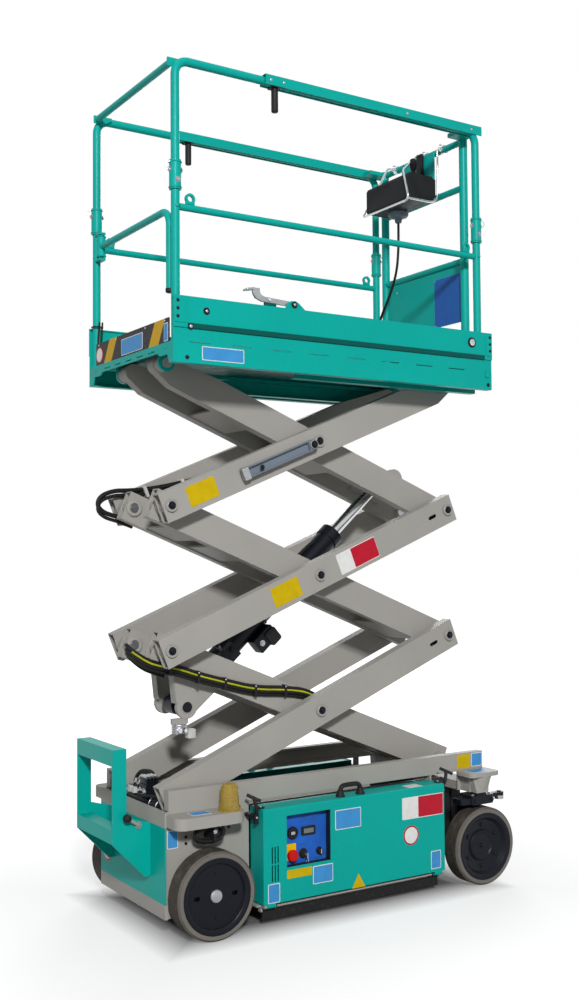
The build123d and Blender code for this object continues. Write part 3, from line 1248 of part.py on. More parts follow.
def control_guard():
    """Two bent rods round the control box, from the end frame's top bar."""
    seat = POST_RIGHT_X - END_BAR_R - RUN_GAP
    turn = seat - 2.2 * WIRE_BEND
    low = BOX_BOTTOM - WIRE_GAP
    left = BOX_LEFT - WIRE_GAP
    near = BOX_NEAR - WIRE_GAP
    far = BOX_FAR + WIRE_GAP
    lean = BOX_NEAR + 114
    front = [(seat, far, END_TOP_BAR_Z), (turn, far, END_TOP_BAR_Z), (left, far, low), (left, near, low),
             (left, near + 40, BOX_TOP + WIRE_GAP), (turn, lean, END_TOP_BAR_Z), (seat, lean, END_TOP_BAR_Z)]
    weld_y = near + 6
    weld_z = low + 8
    rise = seat - 1.2 * WIRE_BEND
    side = [(left - 3, weld_y, weld_z), (rise, weld_y, weld_z), (rise, weld_y, END_TOP_BAR_Z),
            (seat, weld_y, END_TOP_BAR_Z)]
    front_rod = bent_tube(front, WIRE_BEND, WIRE_R, 0)
    side_rod = bent_tube(side, [2.5 * WIRE_BEND, WIRE_BEND], WIRE_R, 0)
    node("control_guard", joined([front_rod, side_rod]))


def control_cable():
    """Cable from the control box down to the sliding deck."""
    radii = []
    for before, here, after in zip(CABLE_ROUTE, CABLE_ROUTE[1:], CABLE_ROUTE[2:]):
        first = Vector(*here) - Vector(*before)
        second = Vector(*after) - Vector(*here)
        half_turn = radians(first.get_angle(second)) / 2
        radii.append(0.45 * min(first.length, second.length) / tan(half_turn))
    print("cable bend radii:", [round(radius) for radius in radii])
    node("control_cable", bent_tube(CABLE_ROUTE, radii, CABLE_R, 0))


def extension():
    """Everything that slides with the deck extension."""
    extension_deck()
    node("top_channels", *both_sides(top_channel()))
    node("push_handles", *both_sides(push_handle()))
    node("end_frame", end_frame())
    control_box()
    control_guard()
    control_cable()


chassis()
rear_panel()
entry_ladder()
lashing_lugs()
hydraulic_unit()
battery_packs()
ground_control()
beacon()
covers_and_guards()
wheels()
steering()
outer_arms()
inner_frames()
rollers()
lift_cylinder()
service_prop()
platform_frame()
platform_deck()
side_panels()
toe_board()
guard_rails()
entry_top_bar()
anchor_eyes()
deck_lock_pedal()
entry_gate()
gate_bracket()
extension()

os.makedirs("parts", exist_ok=True)
for name, solids in NODES.items():
    export_step(Compound(solids), f"parts/{name}.step")
    print(name, len(solids))
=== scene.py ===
"""Looks of a compact electric scissor lift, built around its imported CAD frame.

Pieces are laid out in millimetres, like the part's source; the cord, the materials and the stage are in metres.
"""

import json
import math

import bmesh
import bpy
from mathutils import Matrix, Vector


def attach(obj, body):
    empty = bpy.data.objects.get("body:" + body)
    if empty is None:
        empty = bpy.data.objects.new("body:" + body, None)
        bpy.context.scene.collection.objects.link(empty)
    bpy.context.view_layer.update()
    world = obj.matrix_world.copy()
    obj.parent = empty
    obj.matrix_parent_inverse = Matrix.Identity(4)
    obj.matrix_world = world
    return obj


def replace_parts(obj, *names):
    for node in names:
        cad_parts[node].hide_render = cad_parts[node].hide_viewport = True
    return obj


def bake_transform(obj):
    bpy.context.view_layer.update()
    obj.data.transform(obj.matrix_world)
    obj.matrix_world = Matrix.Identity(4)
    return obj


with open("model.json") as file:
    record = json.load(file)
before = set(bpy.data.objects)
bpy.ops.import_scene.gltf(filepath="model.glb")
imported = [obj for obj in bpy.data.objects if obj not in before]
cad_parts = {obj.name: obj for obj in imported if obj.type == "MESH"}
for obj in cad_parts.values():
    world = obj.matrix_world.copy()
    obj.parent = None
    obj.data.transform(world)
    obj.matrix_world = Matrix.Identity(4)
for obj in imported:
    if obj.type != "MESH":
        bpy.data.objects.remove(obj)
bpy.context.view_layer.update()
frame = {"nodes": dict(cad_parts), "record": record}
nodes = frame["nodes"]

# Directions and sides
UP = Vector((0, 0, 1))
DOWN = -UP
FAR = Vector((0, 1, 0))
NEAR = -FAR
RIGHT = Vector((1, 0, 0))
LEFT = -RIGHT
SIDES = {-1: "near", 1: "far"}
MM_PER_M = 1000

# Scissor arms at rest, as in the CAD model
ARM_ANGLE = math.radians(22.06)
ARM_LENGTH = 1480
BASE_PIN = Vector((-688, 0, 512))
STAGE_RISE = ARM_LENGTH * math.sin(ARM_ANGLE)
RIGHT_PIN_X = BASE_PIN.x + ARM_LENGTH * math.cos(ARM_ANGLE)
OUTER_ALONG = Vector((math.cos(ARM_ANGLE), 0, math.sin(ARM_ANGLE)))
OUTER_RISE = Vector((-math.sin(ARM_ANGLE), 0, math.cos(ARM_ANGLE)))
INNER_ALONG = Vector((-math.cos(ARM_ANGLE), 0, math.sin(ARM_ANGLE)))
INNER_RISE = Vector((math.sin(ARM_ANGLE), 0, math.cos(ARM_ANGLE)))
OUTER_BEAM_FACE = 236
PIN_HEAD_FACE = 243
STAGES = {stage: stage for stage in (1, 2, 3)}
PIN_SHARES = {1: (0.0, 0.5, 1.0), 2: (0.0, 0.5, 1.0), 3: (0.0, 0.5)}
CYLINDER_EYE = (1265.5, -170)

# Faces and heights of the CAD model that the pieces sit on
RAIL_FACE = 285
COVER_FACE = 385
PANEL_FACE = 400
PANEL_STEP = 5
COVER_TOP = 456
SHELF_TOP = 466
POD_TOP = 479
NOSE_X = 526
AXLE_LOW = 391
WHEEL_R = 165
WHEEL_FACE = 400
REAR_AXLE_X = -582
FRONT_AXLE_X = 739
DECK_TOP = 2226
BOARD_FACE_X = -750
PLATFORM_LEFT = -758
POST_LEFT_X = -735
POST_RIGHT_X = 759
POST_Y = 370
MID_RAIL_Z = 2744
COLLAR_LOW = 2806
COLLAR_HIGH = 2918
COLLAR_R = 23
TOP_BAR_Z = 3290
GATE_BOTTOM = 2428
GATE_END_Y = -322
BOX_LEFT = 560
BOX_RIGHT = 700
BOX_NEAR = -150
BOX_FAR = 175
BOX_BOTTOM = 3040
BOX_TOP = 3155
CONTROL_FACE = -346
REAR_FACE_X = -748
TANK_TOP = 488

# Camera of the photograph
CAMERA_PLACE = Vector((-2.705, -4.240, 1.452))
VIEW_YAW = math.radians(57.48)
VIEW_PITCH = math.radians(2.43)
VIEW_ROLL = math.radians(-0.406)
LENS_MM = 41.92
SENSOR_MM = 36.0

# Control cable: the route of the CAD model, in metres
CABLE_R = 0.006
CABLE_ROUTE = [(0.672, 0.076, 3.016), (0.672, 0.076, 2.950), (0.676, 0.083, 2.860), (0.680, 0.104, 2.760),
               (0.682, 0.158, 2.668), (0.684, 0.226, 2.585), (0.684, 0.282, 2.490), (0.684, 0.300, 2.390),
               (0.684, 0.304, 2.310), (0.684, 0.304, 2.247)]

# Kick board stripes: where they stand on the deck, and their lean
STRIPES = [(0.190, 0.265), (-0.249, -0.162)]
STRIPE_LEAN = 0.62

# Edge rounding seen in the paint, and the pitch of the tread plate's bars
EDGE_R = 0.0018
TREAD_CELL = 0.026

# Studio light
KEY_WATTS = 1780
FILL_WATTS = 30
BACK_WATTS = 420
SKY_STRENGTH = 0.24
SPECULAR = 0.13
FLOOR_HALF = 40.0
FLOOR_TONE = 0.42
# Painted shadow on the floor: a darker tone under the machine's footprint, which reaches FLOOR_DARK_X along X and the
# wheels' faces along Y.
FLOOR_PAINTED_SHADOW = 0.18
FLOOR_DARK_X = 0.74
FLOOR_GLOW = 0.60

# Colours, linear
TEAL_TONE = (0.0, 0.372, 0.322)
GREY_TONE = (0.36, 0.345, 0.318)
DARK_TONE = (0.007, 0.0085, 0.013)
DUST = (0.42, 0.40, 0.36)


# Materials
class Look:
    """Node tree of a material or of the world."""

    def __init__(self, holder):
        holder.use_nodes = True
        self.holder = holder
        self.tree = holder.node_tree

    def feed(self, socket, value):
        """Link a socket to another, or set it to a value."""
        if isinstance(value, bpy.types.NodeSocket):
            self.tree.links.new(value, socket)
        else:
            socket.default_value = (*value, 1.0) if socket.type == "RGBA" else value

    def node(self, kind, inputs, **settings):
        """New node with its settings and its inputs."""
        node = self.tree.nodes.new("ShaderNode" + kind)
        for key, value in settings.items():
            setattr(node, key, value)
        for key, value in inputs.items():
            self.feed(node.inputs[key], value)
        return node

    def maths(self, operation, first, second=0.0):
        """One sum on sockets or numbers."""
        return self.node("Math", {0: first, 1: second}, operation=operation).outputs[0]

    def times(self, first, second):
        """Product of sockets or numbers."""
        return self.maths("MULTIPLY", first, second)

    def axes(self, vector):
        """The three parts of a vector."""
        return self.node("SeparateXYZ", {0: vector}).outputs

    def spread(self, value, to_low, to_high, low=0.3, high=0.7):
        """Value mapped from one range to another, clamped."""
        inputs = {"Value": value, "From Min": low, "From Max": high, "To Min": to_low, "To Max": to_high}
        return self.node("MapRange", inputs).outputs["Result"]

    def mix(self, factor, first, second):
        """Colour between two others."""
        return self.node("Mix", {0: factor, 6: first, 7: second}, data_type="RGBA").outputs[2]

    def seen(self):
        """1 where the camera, a mirror or glass looks, and else 0."""
        rays = self.node("LightPath", {}).outputs
        direct = self.maths("MAXIMUM", rays["Is Camera Ray"], rays["Is Glossy Ray"])
        return self.maths("MAXIMUM", direct, rays["Is Transmission Ray"])


class Finish(Look):
    """Material with a principled shader."""

    def __init__(self, name):
        super().__init__(bpy.data.materials.new(name))
        self.shader = self.tree.nodes["Principled BSDF"]
        self.shade({"Specular IOR Level": SPECULAR})
        coords = self.node("TexCoord", {}).outputs
        self.place = coords["Object"]
        self.normal = coords["Normal"]

    def shade(self, inputs):
        """Feed the shader's inputs."""
        for key, value in inputs.items():
            self.feed(self.shader.inputs[key], value)

    def noise(self, scale, detail=3.0, roughness=0.5, place=None):
        """Noise value between 0 and 1."""
        inputs = {"Vector": place or self.place, "Scale": scale, "Detail": detail, "Roughness": roughness}
        return self.node("TexNoise", inputs).outputs["Fac"]

    def relief(self, height, strength, depth, base=None):
        """Surface relief from a height value, on a given normal where there is one."""
        bump = self.node("Bump", {"Strength": strength, "Distance": depth, "Height": height, **(base or {})})
        self.shade({"Normal": bump.outputs["Normal"]})

    def soft_edges(self, radius):
        """Normal that rounds sharp edges, and how near a point is to such an edge."""
        soft = self.node("Bevel", {"Radius": radius}, samples=4).outputs["Normal"]
        flat = self.node("NewGeometry", {}).outputs["Normal"]
        dot = self.node("VectorMath", {0: soft, 1: flat}, operation="DOT_PRODUCT").outputs["Value"]
        return {"Normal": soft}, self.spread(dot, 1, 0, 0.88, 0.995)


def shaded(colour, factor):
    """The same colour, darker or lighter."""
    return tuple(min(1.0, channel * factor) for channel in colour)


def paint(name, colour, roughness, tone=0.06, dust=0.10, coat=0.0, wear=0.30, nose=False):
    """Sprayed paint: faint clouds, dust, rubbed edges and a fine orange peel; black in the nose if asked."""
    look = Finish(name)
    clouds = look.noise(2.6, 4.0)
    specks = look.noise(75.0, 5.0, 0.65)
    soft, edges = look.soft_edges(EDGE_R)
    cloudy = look.mix(look.spread(clouds, 0, 1), shaded(colour, 1 - tone), shaded(colour, 1 + tone))
    dusty = look.mix(look.spread(specks, 0, dust, 0.56, 0.80), cloudy, DUST)
    rubbed = look.times(edges, look.spread(specks, 0.3 * wear, wear, 0.42, 0.62))
    worn = look.mix(rubbed, dusty, tuple(0.6 * channel + 0.22 for channel in colour))
    if nose:
        x, _, z = look.axes(look.place)
        ahead = look.maths("GREATER_THAN", x, NOSE_X / MM_PER_M)
        below = look.maths("LESS_THAN", z, AXLE_LOW / MM_PER_M)
        worn = look.mix(look.times(ahead, below), worn, DARK_TONE)
    look.shade({"Base Color": worn, "Roughness": look.spread(clouds, roughness - 0.06, roughness + 0.08),
                "Coat Weight": coat, "Coat Roughness": 0.12})
    height = look.maths("ADD", look.times(look.noise(520.0, 2.0), 0.12), look.noise(9.0, 1.0))
    look.relief(height, 0.2, 0.0010, soft)
    return look.holder


def metal(name, colour, roughness, stain=0.15):
    """Bare or plated steel with a drawn grain and uneven plating."""
    look = Finish(name)
    stretch = look.node("Mapping", {"Vector": look.place, "Scale": (3.0, 3.0, 220.0)})
    lines = look.noise(4.0, place=stretch.outputs["Vector"])
    blots = look.spread(look.noise(30.0, 4.0), 0, 1, 0.35)
    look.shade({"Base Color": look.mix(blots, colour, shaded(colour, 1 - stain)), "Metallic": 1.0,
                "Roughness": look.spread(lines, roughness - 0.06, roughness + 0.1)})
    look.relief(lines, 0.15, 0.0004)
    return look.holder


def plastic(name, colour, roughness, grain=600.0, relief=0.35):
    """Moulded plastic with a fine leather grain."""
    look = Finish(name)
    clouds = look.noise(14.0)
    tone = look.mix(look.spread(clouds, 0, 1), shaded(colour, 0.85), shaded(colour, 1.18))
    look.shade({"Base Color": tone, "Roughness": look.spread(clouds, roughness - 0.05, roughness + 0.1)})
    look.relief(look.noise(grain, 2.0), relief, 0.0004)
    return look.holder


def rubber(name, tread, wall):
    """Solid tyre rubber: brown, scuffed tread and a paler, dusty side wall."""
    look = Finish(name)
    scuffs = look.noise(34.0, 6.0, 0.7)
    outward = look.maths("ABSOLUTE", look.axes(look.normal)[1])
    base = look.mix(look.spread(outward, 0, 1, 0.55, 0.85), tread, wall)
    tone = look.mix(look.spread(look.noise(5.0), 0, 0.25), base, shaded(tread, 0.8))
    dusty = look.mix(look.spread(scuffs, 0, 0.35, 0.45, 0.75), tone, shaded(wall, 1.15))
    look.shade({"Base Color": dusty, "Roughness": look.spread(scuffs, 0.62, 0.85)})
    look.relief(scuffs, 0.4, 0.0008, look.soft_edges(0.004)[0])
    return look.holder


def tread_plate(name, colour):
    """Aluminium deck with short raised bars that turn from cell to cell, painted teal on its under side and darkened
    there to a quarter as painted shade.
    """
    look = Finish(name)
    x, y, _ = look.axes(look.place)
    cells = [look.maths("DIVIDE", look.maths(way, x, y), TREAD_CELL) for way in ("ADD", "SUBTRACT")]
    parity = look.maths("ADD", *[look.maths("FLOOR", cell) for cell in cells])
    turned = look.maths("ABSOLUTE", look.maths("MODULO", parity, 2.0))
    u, v = [look.maths("ABSOLUTE", look.maths("SUBTRACT", look.maths("FRACT", cell), 0.5)) for cell in cells]
    lying = look.maths("ADD", u, look.times(v, 4.0))
    standing = look.maths("ADD", look.times(u, 4.0), v)
    gap = look.maths("ADD", look.times(lying, turned), look.times(standing, look.maths("SUBTRACT", 1.0, turned)))
    bars = look.spread(gap, 1, 0, 0.40, 0.52)
    scuffs = look.noise(20.0, 5.0, 0.6)
    tone = look.mix(look.spread(scuffs, 0, 1, 0.35), shaded(colour, 0.75), colour)
    top = look.spread(look.axes(look.normal)[2], 0, 1, 0.4, 0.6)
    bare = look.mix(bars, tone, shaded(colour, 1.25))
    # The under side is teal darkened to a quarter: partly the frame's teal paint, partly painted shade.
    look.shade({"Base Color": look.mix(top, shaded(TEAL_TONE, 0.25), bare), "Metallic": look.times(top, 0.85),
                "Roughness": look.spread(scuffs, 0.35, 0.55)})
    look.relief(bars, 0.7, 0.0015)
    return look.holder


def lens(name, colour):
    """Tinted clear plastic of the beacon."""
    look = Finish(name)
    clouds = look.noise(40.0, 2.0)
    look.shade({"Base Color": look.mix(clouds, shaded(colour, 0.8), colour),
                "Roughness": look.spread(clouds, 0.08, 0.16), "Transmission Weight": 0.60, "IOR": 1.46,
                "Coat Weight": 0.5})
    return look.holder


def stripes(name, dark, bright):
    """Kick board with two leaning hazard stripes, as in the photograph."""
    look = Finish(name)
    _, y, z = look.axes(look.place)
    rise = look.maths("SUBTRACT", z, DECK_TOP / MM_PER_M)
    across = look.maths("ADD", y, look.times(rise, STRIPE_LEAN))
    bands = [look.times(look.maths("LESS_THAN", across, high), look.maths("GREATER_THAN", across, low))
             for low, high in STRIPES]
    scuffs = look.noise(60.0, 5.0, 0.6)
    worn = look.mix(look.spread(scuffs, 0, 0.35, 0.5, 0.8), bright, shaded(bright, 0.6))
    look.shade({"Base Color": look.mix(look.maths("ADD", *bands), dark, worn),
                "Roughness": look.spread(scuffs, 0.35, 0.55)})
    look.relief(scuffs, 0.1, 0.0005)
    return look.holder


def sign(name, colour):
    """Printed vinyl of a blank plate."""
    look = Finish(name)
    clouds = look.noise(25.0)
    tone = look.mix(look.spread(clouds, 0, 1, 0.35), shaded(colour, 0.93), shaded(colour, 1.05))
    look.shade({"Base Color": tone, "Roughness": look.spread(clouds, 0.3, 0.42)})
    look.relief(look.noise(260.0, 2.0), 0.08, 0.0003)
    return look.holder


TEAL = paint("teal_paint", TEAL_TONE, 0.42, coat=0.03, dust=0.04, wear=0.16)
# Teal darkened to about a quarter to stand for shade: painted shade on the side panels' folds and under the pedal.
PAINTED_SHADE_TEAL = paint("painted_shade_teal", (0.0, 0.085, 0.075), 0.5, dust=0.04, wear=0.10)
GREY = paint("grey_paint", GREY_TONE, 0.48, dust=0.08)
CHASSIS_PAINT = paint("chassis_paint", GREY_TONE, 0.48, dust=0.08, nose=True)
DARK = paint("black_paint", DARK_TONE, 0.36, dust=0.02, wear=0.10)
GUARD_PAINT = paint("guard_paint", (0.016, 0.017, 0.016), 0.62, dust=0.12)
PROP_PAINT = paint("prop_paint", (0.17, 0.205, 0.25), 0.38, dust=0.05)
ZINC = metal("zinc_plate", (0.40, 0.41, 0.43), 0.36)
BRIGHT = metal("bright_steel", (0.56, 0.57, 0.58), 0.20, stain=0.08)
TYRE = rubber("tyre_rubber", (0.050, 0.042, 0.035), (0.190, 0.174, 0.156))
BLACK = plastic("black_plastic", (0.014, 0.014, 0.016), 0.45)
HOSE = plastic("hose_rubber", (0.013, 0.013, 0.013), 0.5, grain=900.0)
EARTH = plastic("yellow_green_wire", (0.42, 0.44, 0.02), 0.45, grain=900.0)
BLUE = plastic("blue_plastic", (0.018, 0.115, 0.50), 0.35)
PALE = plastic("pale_plastic", (0.52, 0.52, 0.50), 0.4)
SCREEN = plastic("display", (0.16, 0.19, 0.17), 0.22, relief=0.02)
BATTERY = plastic("battery_case", (0.03, 0.03, 0.034), 0.5)
AMBER = lens("amber_lens", (0.66, 0.46, 0.008))
HAZARD = stripes("hazard_stripes", (0.022, 0.021, 0.020), (0.62, 0.36, 0.008))
TREAD = tread_plate("tread_plate", (0.50, 0.51, 0.52))
RED = plastic("red_plastic", (0.62, 0.01, 0.008), 0.28, relief=0.05)
YELLOW = plastic("yellow_plastic", (0.85, 0.50, 0.0), 0.35, relief=0.1)
BLUE_SIGN = sign("blue_sign", (0.055, 0.285, 0.62))
DEEP_SIGN = sign("deep_blue_sign", (0.022, 0.115, 0.42))
YELLOW_SIGN = sign("yellow_sign", (0.60, 0.42, 0.003))
RED_SIGN = sign("red_sign", (0.50, 0.012, 0.03))
WHITE_SIGN = sign("white_sign", (0.78, 0.78, 0.76))

# Finish of each of the record's slots, and of nodes with a finish of their own
SLOTS = {"painted_teal": TEAL, "painted_grey": GREY, "black_paint": DARK, "zinc_steel": ZINC,
         "bright_steel": BRIGHT, "tyre_rubber": TYRE, "black_plastic": BLACK, "blue_plastic": BLUE,
         "battery_case": BATTERY, "amber_lens": AMBER, "cable_rubber": HOSE, "hazard_paint": HAZARD,
         "prop_steel": PROP_PAINT, "aluminium_tread": TREAD}
OWN = {"chassis_frame": CHASSIS_PAINT, "pothole_guard_near": GUARD_PAINT, "pothole_guard_far": GUARD_PAINT}

for part in frame["record"]["subparts"]:
    materials = nodes[part["node"]].data.materials
    materials.clear()
    materials.append(OWN.get(part["node"], SLOTS[part["material_slot"]]))


# Pieces
SIGN_T = 0.8
SIGN_RIM = 3
EDGE = 0.6
SHARP = math.radians(32)
BEVEL_FROM = math.radians(40)


def facing(origin, out, up=UP):
    """Axes on a surface: Z outwards, Y along up, X to the right."""
    z = Vector(out).normalized()
    x = Vector(up).cross(z).normalized()
    axes = Matrix((x, z.cross(x), z)).transposed().to_4x4()
    axes.translation = Vector(origin)
    return axes


def top_axes(x, y, z):
    """Axes on a face that looks up."""
    return facing((x, y, z), UP, FAR)


def under_axes(x, y, z):
    """Axes on a face that looks down."""
    return facing((x, y, z), DOWN, FAR)


def side_axes(x, y, z, up=UP):
    """Axes on a face that looks to the near or the far side, whichever y lies on."""
    return facing((x, y, z), NEAR if y < 0 else FAR, up)


def shifted(axes, x, y, z=0):
    """The same axes, moved along themselves."""
    return axes @ Matrix.Translation((x, y, z))


def lifted(axes, height):
    """The same axes, further out from the surface."""
    return shifted(axes, 0, 0, height)


def circle(radius, count, first=0):
    """Points of a circle, anticlockwise from an angle."""
    turns = [first + 2 * math.pi * step / count for step in range(count)]
    return [(radius * math.cos(turn), radius * math.sin(turn)) for turn in turns]


def rounded(width, height, corner, steps=4):
    """Outline of a rounded rectangle about the middle, anticlockwise."""
    points = []
    for quarter, (sx, sy) in enumerate(((1, 1), (-1, 1), (-1, -1), (1, -1))):
        for step in range(steps + 1):
            turn = math.pi / 2 * (quarter + step / steps)
            points.append((sx * (width / 2 - corner) + corner * math.cos(turn),
                           sy * (height / 2 - corner) + corner * math.sin(turn)))
    return points


def spline(points, radius):
    """Smooth curve through a hose's route, as round as the hose."""
    data = bpy.data.curves.new("route", "CURVE")
    data.dimensions = "3D"
    line = data.splines.new("NURBS")
    line.points.add(len(points) - 1)
    for knot, point in zip(line.points, points):
        knot.co = (*point, 1.0)
    line.order_u = 3
    line.use_endpoint_u = True
    line.resolution_u = 8
    data.bevel_depth = radius
    data.bevel_resolution = 4
    data.use_fill_caps = True
    return data


class Piece:
    """One mesh built up from several solids in millimetres, each with its own finish."""

    def __init__(self, name):
        self.name = name
        self.mesh = bmesh.new()
        self.finishes = []

    def painted(self, faces, finish):
        """Give new faces their finish."""
        if finish not in self.finishes:
            self.finishes.append(finish)
        for face in faces:
            face.material_index = self.finishes.index(finish)

    def skin(self, rings, finish, closed=False):
        """Faces between rings of points; a ring of one point is a pole."""
        faces = []
        rings = [[self.mesh.verts.new(point) for point in ring] for ring in rings]
        pairs = list(zip(rings, rings[1:]))
        if closed:
            pairs.append((rings[-1], rings[0]))
        for low, high in pairs:
            count = max(len(low), len(high))
            for step in range(count):
                after = (step + 1) % count
                corners = [low[0]] if len(low) == 1 else [low[step], low[after]]
                corners += [high[0]] if len(high) == 1 else [high[after], high[step]]
                faces.append(self.mesh.faces.new(corners))
        self.painted(faces, finish)

    def prism(self, axes, outline, depth, finish):
        """Plate with an outline in the axes' X and Y, risen along Z."""
        low, high = [[self.mesh.verts.new(axes @ Vector((x, y, z))) for x, y in outline] for z in (0, depth)]
        faces = [self.mesh.faces.new(low[::-1]), self.mesh.faces.new(high)]
        for step in range(len(outline)):
            after = (step + 1) % len(outline)
            faces.append(self.mesh.faces.new((low[step], low[after], high[after], high[step])))
        self.painted(faces, finish)

    def slab(self, axes, width, height, depth, finish, corner=0):
        """Plate about the axes' middle, with rounded corners where asked."""
        x = width / 2
        y = height / 2
        outline = rounded(width, height, corner) if corner else [(x, y), (-x, y), (-x, -y), (x, -y)]
        self.prism(axes, outline, depth, finish)

    def box(self, first, second, finish, corner=0):
        """Block between two corners, with its upright edges rounded where asked."""
        x, y, z = map(min, first, second)
        wide, deep, high = (abs(start - end) for start, end in zip(first, second))
        self.slab(Matrix.Translation((x + wide / 2, y + deep / 2, z)), wide, deep, high, finish, corner)

    def lathe(self, axes, profile, finish, sides=24):
        """Turned solid about the axes' Z, from radii and heights."""
        rings = []
        for radius, height in profile:
            ring = circle(radius, sides) if radius else [(0, 0)]
            rings.append([axes @ Vector((x, y, height)) for x, y in ring])
        self.skin(rings, finish)

    def disc(self, axes, radius, depth, finish, sides=24):
        """Round plate."""
        self.lathe(axes, [(0, 0), (radius, 0), (radius, depth), (0, depth)], finish, sides)

    def drum(self, axes, radius, side, top_radius, height, finish, sides=24):
        """Round plate with a bevelled rim."""
        profile = [(0, 0), (radius, 0), (radius, side), (top_radius, height), (0, height)]
        self.lathe(axes, profile, finish, sides)

    def ring(self, axes, radius, thick, finish, sides=28):
        """Round wire bent to a ring."""
        section = [(radius + x, y) for x, y in circle(thick, 10)]
        rings = [[axes @ Vector((r * x, r * y, z)) for x, y in circle(1, sides)] for r, z in section]
        self.skin(rings, finish, closed=True)

    def rod(self, start, end, radius, finish, sides=16):
        """Round bar between two points."""
        out = Vector(end) - Vector(start)
        up = FAR if abs(out.normalized().z) > 0.9 else UP
        self.disc(facing(start, out, up), radius, out.length, finish, sides)

    def bolt(self, axes, size, finish):
        """Hexagon bolt head on its washer."""
        self.disc(axes, 1.55 * size, 0.22 * size, finish)
        head = [(0, 0.2 * size), (size, 0.2 * size), (size, 0.85 * size), (0.86 * size, size), (0, size)]
        self.lathe(axes, head, finish, 6)

    def dome(self, axes, size, finish):
        """Round-headed screw."""
        self.lathe(axes, [(0, 0), (size, 0), (size, 0.2 * size), (0.85 * size, 0.48 * size),
                          (0.5 * size, 0.66 * size), (0, 0.72 * size)], finish)

    def hose(self, points, radius, finish):
        """Hose along a smooth route."""
        curve = spline(points, radius)
        route = bpy.data.objects.new("route", curve)
        count = len(self.mesh.faces)
        mesh = bpy.data.meshes.new_from_object(route)
        self.mesh.from_mesh(mesh)
        self.mesh.faces.ensure_lookup_table()
        self.painted(self.mesh.faces[count:], finish)
        bpy.data.objects.remove(route)
        bpy.data.curves.remove(curve)
        bpy.data.meshes.remove(mesh)

    def done(self, body=None, edge=0):
        """Finished object in metres with softened edges; it rides on a body if one is named."""
        bmesh.ops.scale(self.mesh, vec=(1 / MM_PER_M,) * 3, verts=self.mesh.verts)
        mesh = bpy.data.meshes.new(self.name)
        self.mesh.to_mesh(mesh)
        self.mesh.free()
        for face in mesh.polygons:
            face.use_smooth = True
        mesh.set_sharp_from_angle(angle=SHARP)
        for finish in self.finishes:
            mesh.materials.append(finish)
        piece = bpy.data.objects.new(self.name, mesh)
        bpy.context.scene.collection.objects.link(piece)
        if edge:
            bevel = piece.modifiers.new("edges", "BEVEL")
            bevel.width = edge / MM_PER_M
            bevel.segments = 2
            bevel.limit_method = "ANGLE"
            bevel.angle_limit = BEVEL_FROM
        if body:
            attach(piece, body)
        return piece


def plate(piece, axes, width, height, finish=BLUE_SIGN, rim=WHITE_SIGN):
    """Blank sign: a printed field, on a paler rim where it has one."""
    if rim:
        piece.slab(axes, width, height, SIGN_T, rim, 4)
        axes = lifted(axes, 0.6 * SIGN_T)
        width -= 2 * SIGN_RIM
        height -= 2 * SIGN_RIM
    piece.slab(axes, width, height, SIGN_T, finish, 3)


def side_plate(piece, x0, x1, z0, z1, y, finish=BLUE_SIGN, rim=WHITE_SIGN):
    """Blank sign on a side face, between two X and two Z values."""
    plate(piece, side_axes((x0 + x1) / 2, y, (z0 + z1) / 2), x1 - x0, z1 - z0, finish, rim)


def two_tone(piece, axes, width, height, split):
    """Blank sign whose left part is white and whose right part is red."""
    piece.slab(axes, width, height, SIGN_T, WHITE_SIGN, 4)
    field = (1 - split) * width - SIGN_RIM
    axes = shifted(axes, split * width / 2, 0, 0.6 * SIGN_T)
    piece.slab(axes, field, height - 2 * SIGN_RIM, SIGN_T, RED_SIGN, 3)


def round_sign(piece, axes, radius):
    """Blank round sign: white with a red rim."""
    piece.disc(axes, radius, SIGN_T, RED_SIGN, 40)
    piece.disc(lifted(axes, 0.6 * SIGN_T), 0.84 * radius, SIGN_T, WHITE_SIGN, 40)


def fitted(body, edge=0, name=None, over=None):
    """Build a piece on a body with the function that follows, or one for each key of a group."""
    def build(draw):
        for key, word in (over or {0: ""}).items():
            piece = Piece((name or draw.__name__).format(word))
            draw(*([piece, key] if over else [piece]))
            piece.done(body.format(word), edge)
        return draw
    return build


# Scissor arms
def outer_point(stage, along, rise, y):
    """Point of a stage's outer beam, from distances along it and square to it."""
    foot = BASE_PIN + UP * ((stage - 1) * STAGE_RISE)
    return foot + OUTER_ALONG * along + OUTER_RISE * rise + FAR * y


def inner_point(stage, along, rise, y):
    """Point of a stage's inner beam, from its right, lower pin."""
    foot = Vector((RIGHT_PIN_X, 0, BASE_PIN.z + (stage - 1) * STAGE_RISE))
    return foot + INNER_ALONG * along + INNER_RISE * rise + FAR * y


def pin_spots(stage, shares, y):
    """Places on both sides of a stage's pins, from their shares of the arm's length."""
    return [inner_point(stage, share * ARM_LENGTH, 0, side * y) for share in shares for side in SIDES]


@fitted("inner_{}", EDGE, "pin_bolts_{}", STAGES)
def pin_bolts(piece, stage):
    """Bolt, washer and rim on the heads of a stage's pins, apart from the base pin."""
    shares = PIN_SHARES[stage] if stage > 1 else PIN_SHARES[stage][1:]
    for spot in pin_spots(stage, shares, PIN_HEAD_FACE):
        axes = side_axes(*spot)
        piece.ring(axes, 23.5, 2.2, GREY)
        piece.disc(axes, 18, 1.5, ZINC)
        piece.bolt(lifted(axes, 1), 10.5, DARK)


@fitted("inner_{}", EDGE, "pin_bosses_{}", STAGES)
def pin_bosses(piece, stage):
    """Welded rings round the pins on the inner faces of the inner beams."""
    for spot in pin_spots(stage, PIN_SHARES[stage], 100):
        axes = facing(spot, (0, -spot.y, 0))
        piece.lathe(axes, [(19, 0), (34, 0), (34, 7), (30, 10), (21, 10), (19, 4), (0, 4)], GREY, 32)
        piece.disc(lifted(axes, 2), 18.5, 5, ZINC)


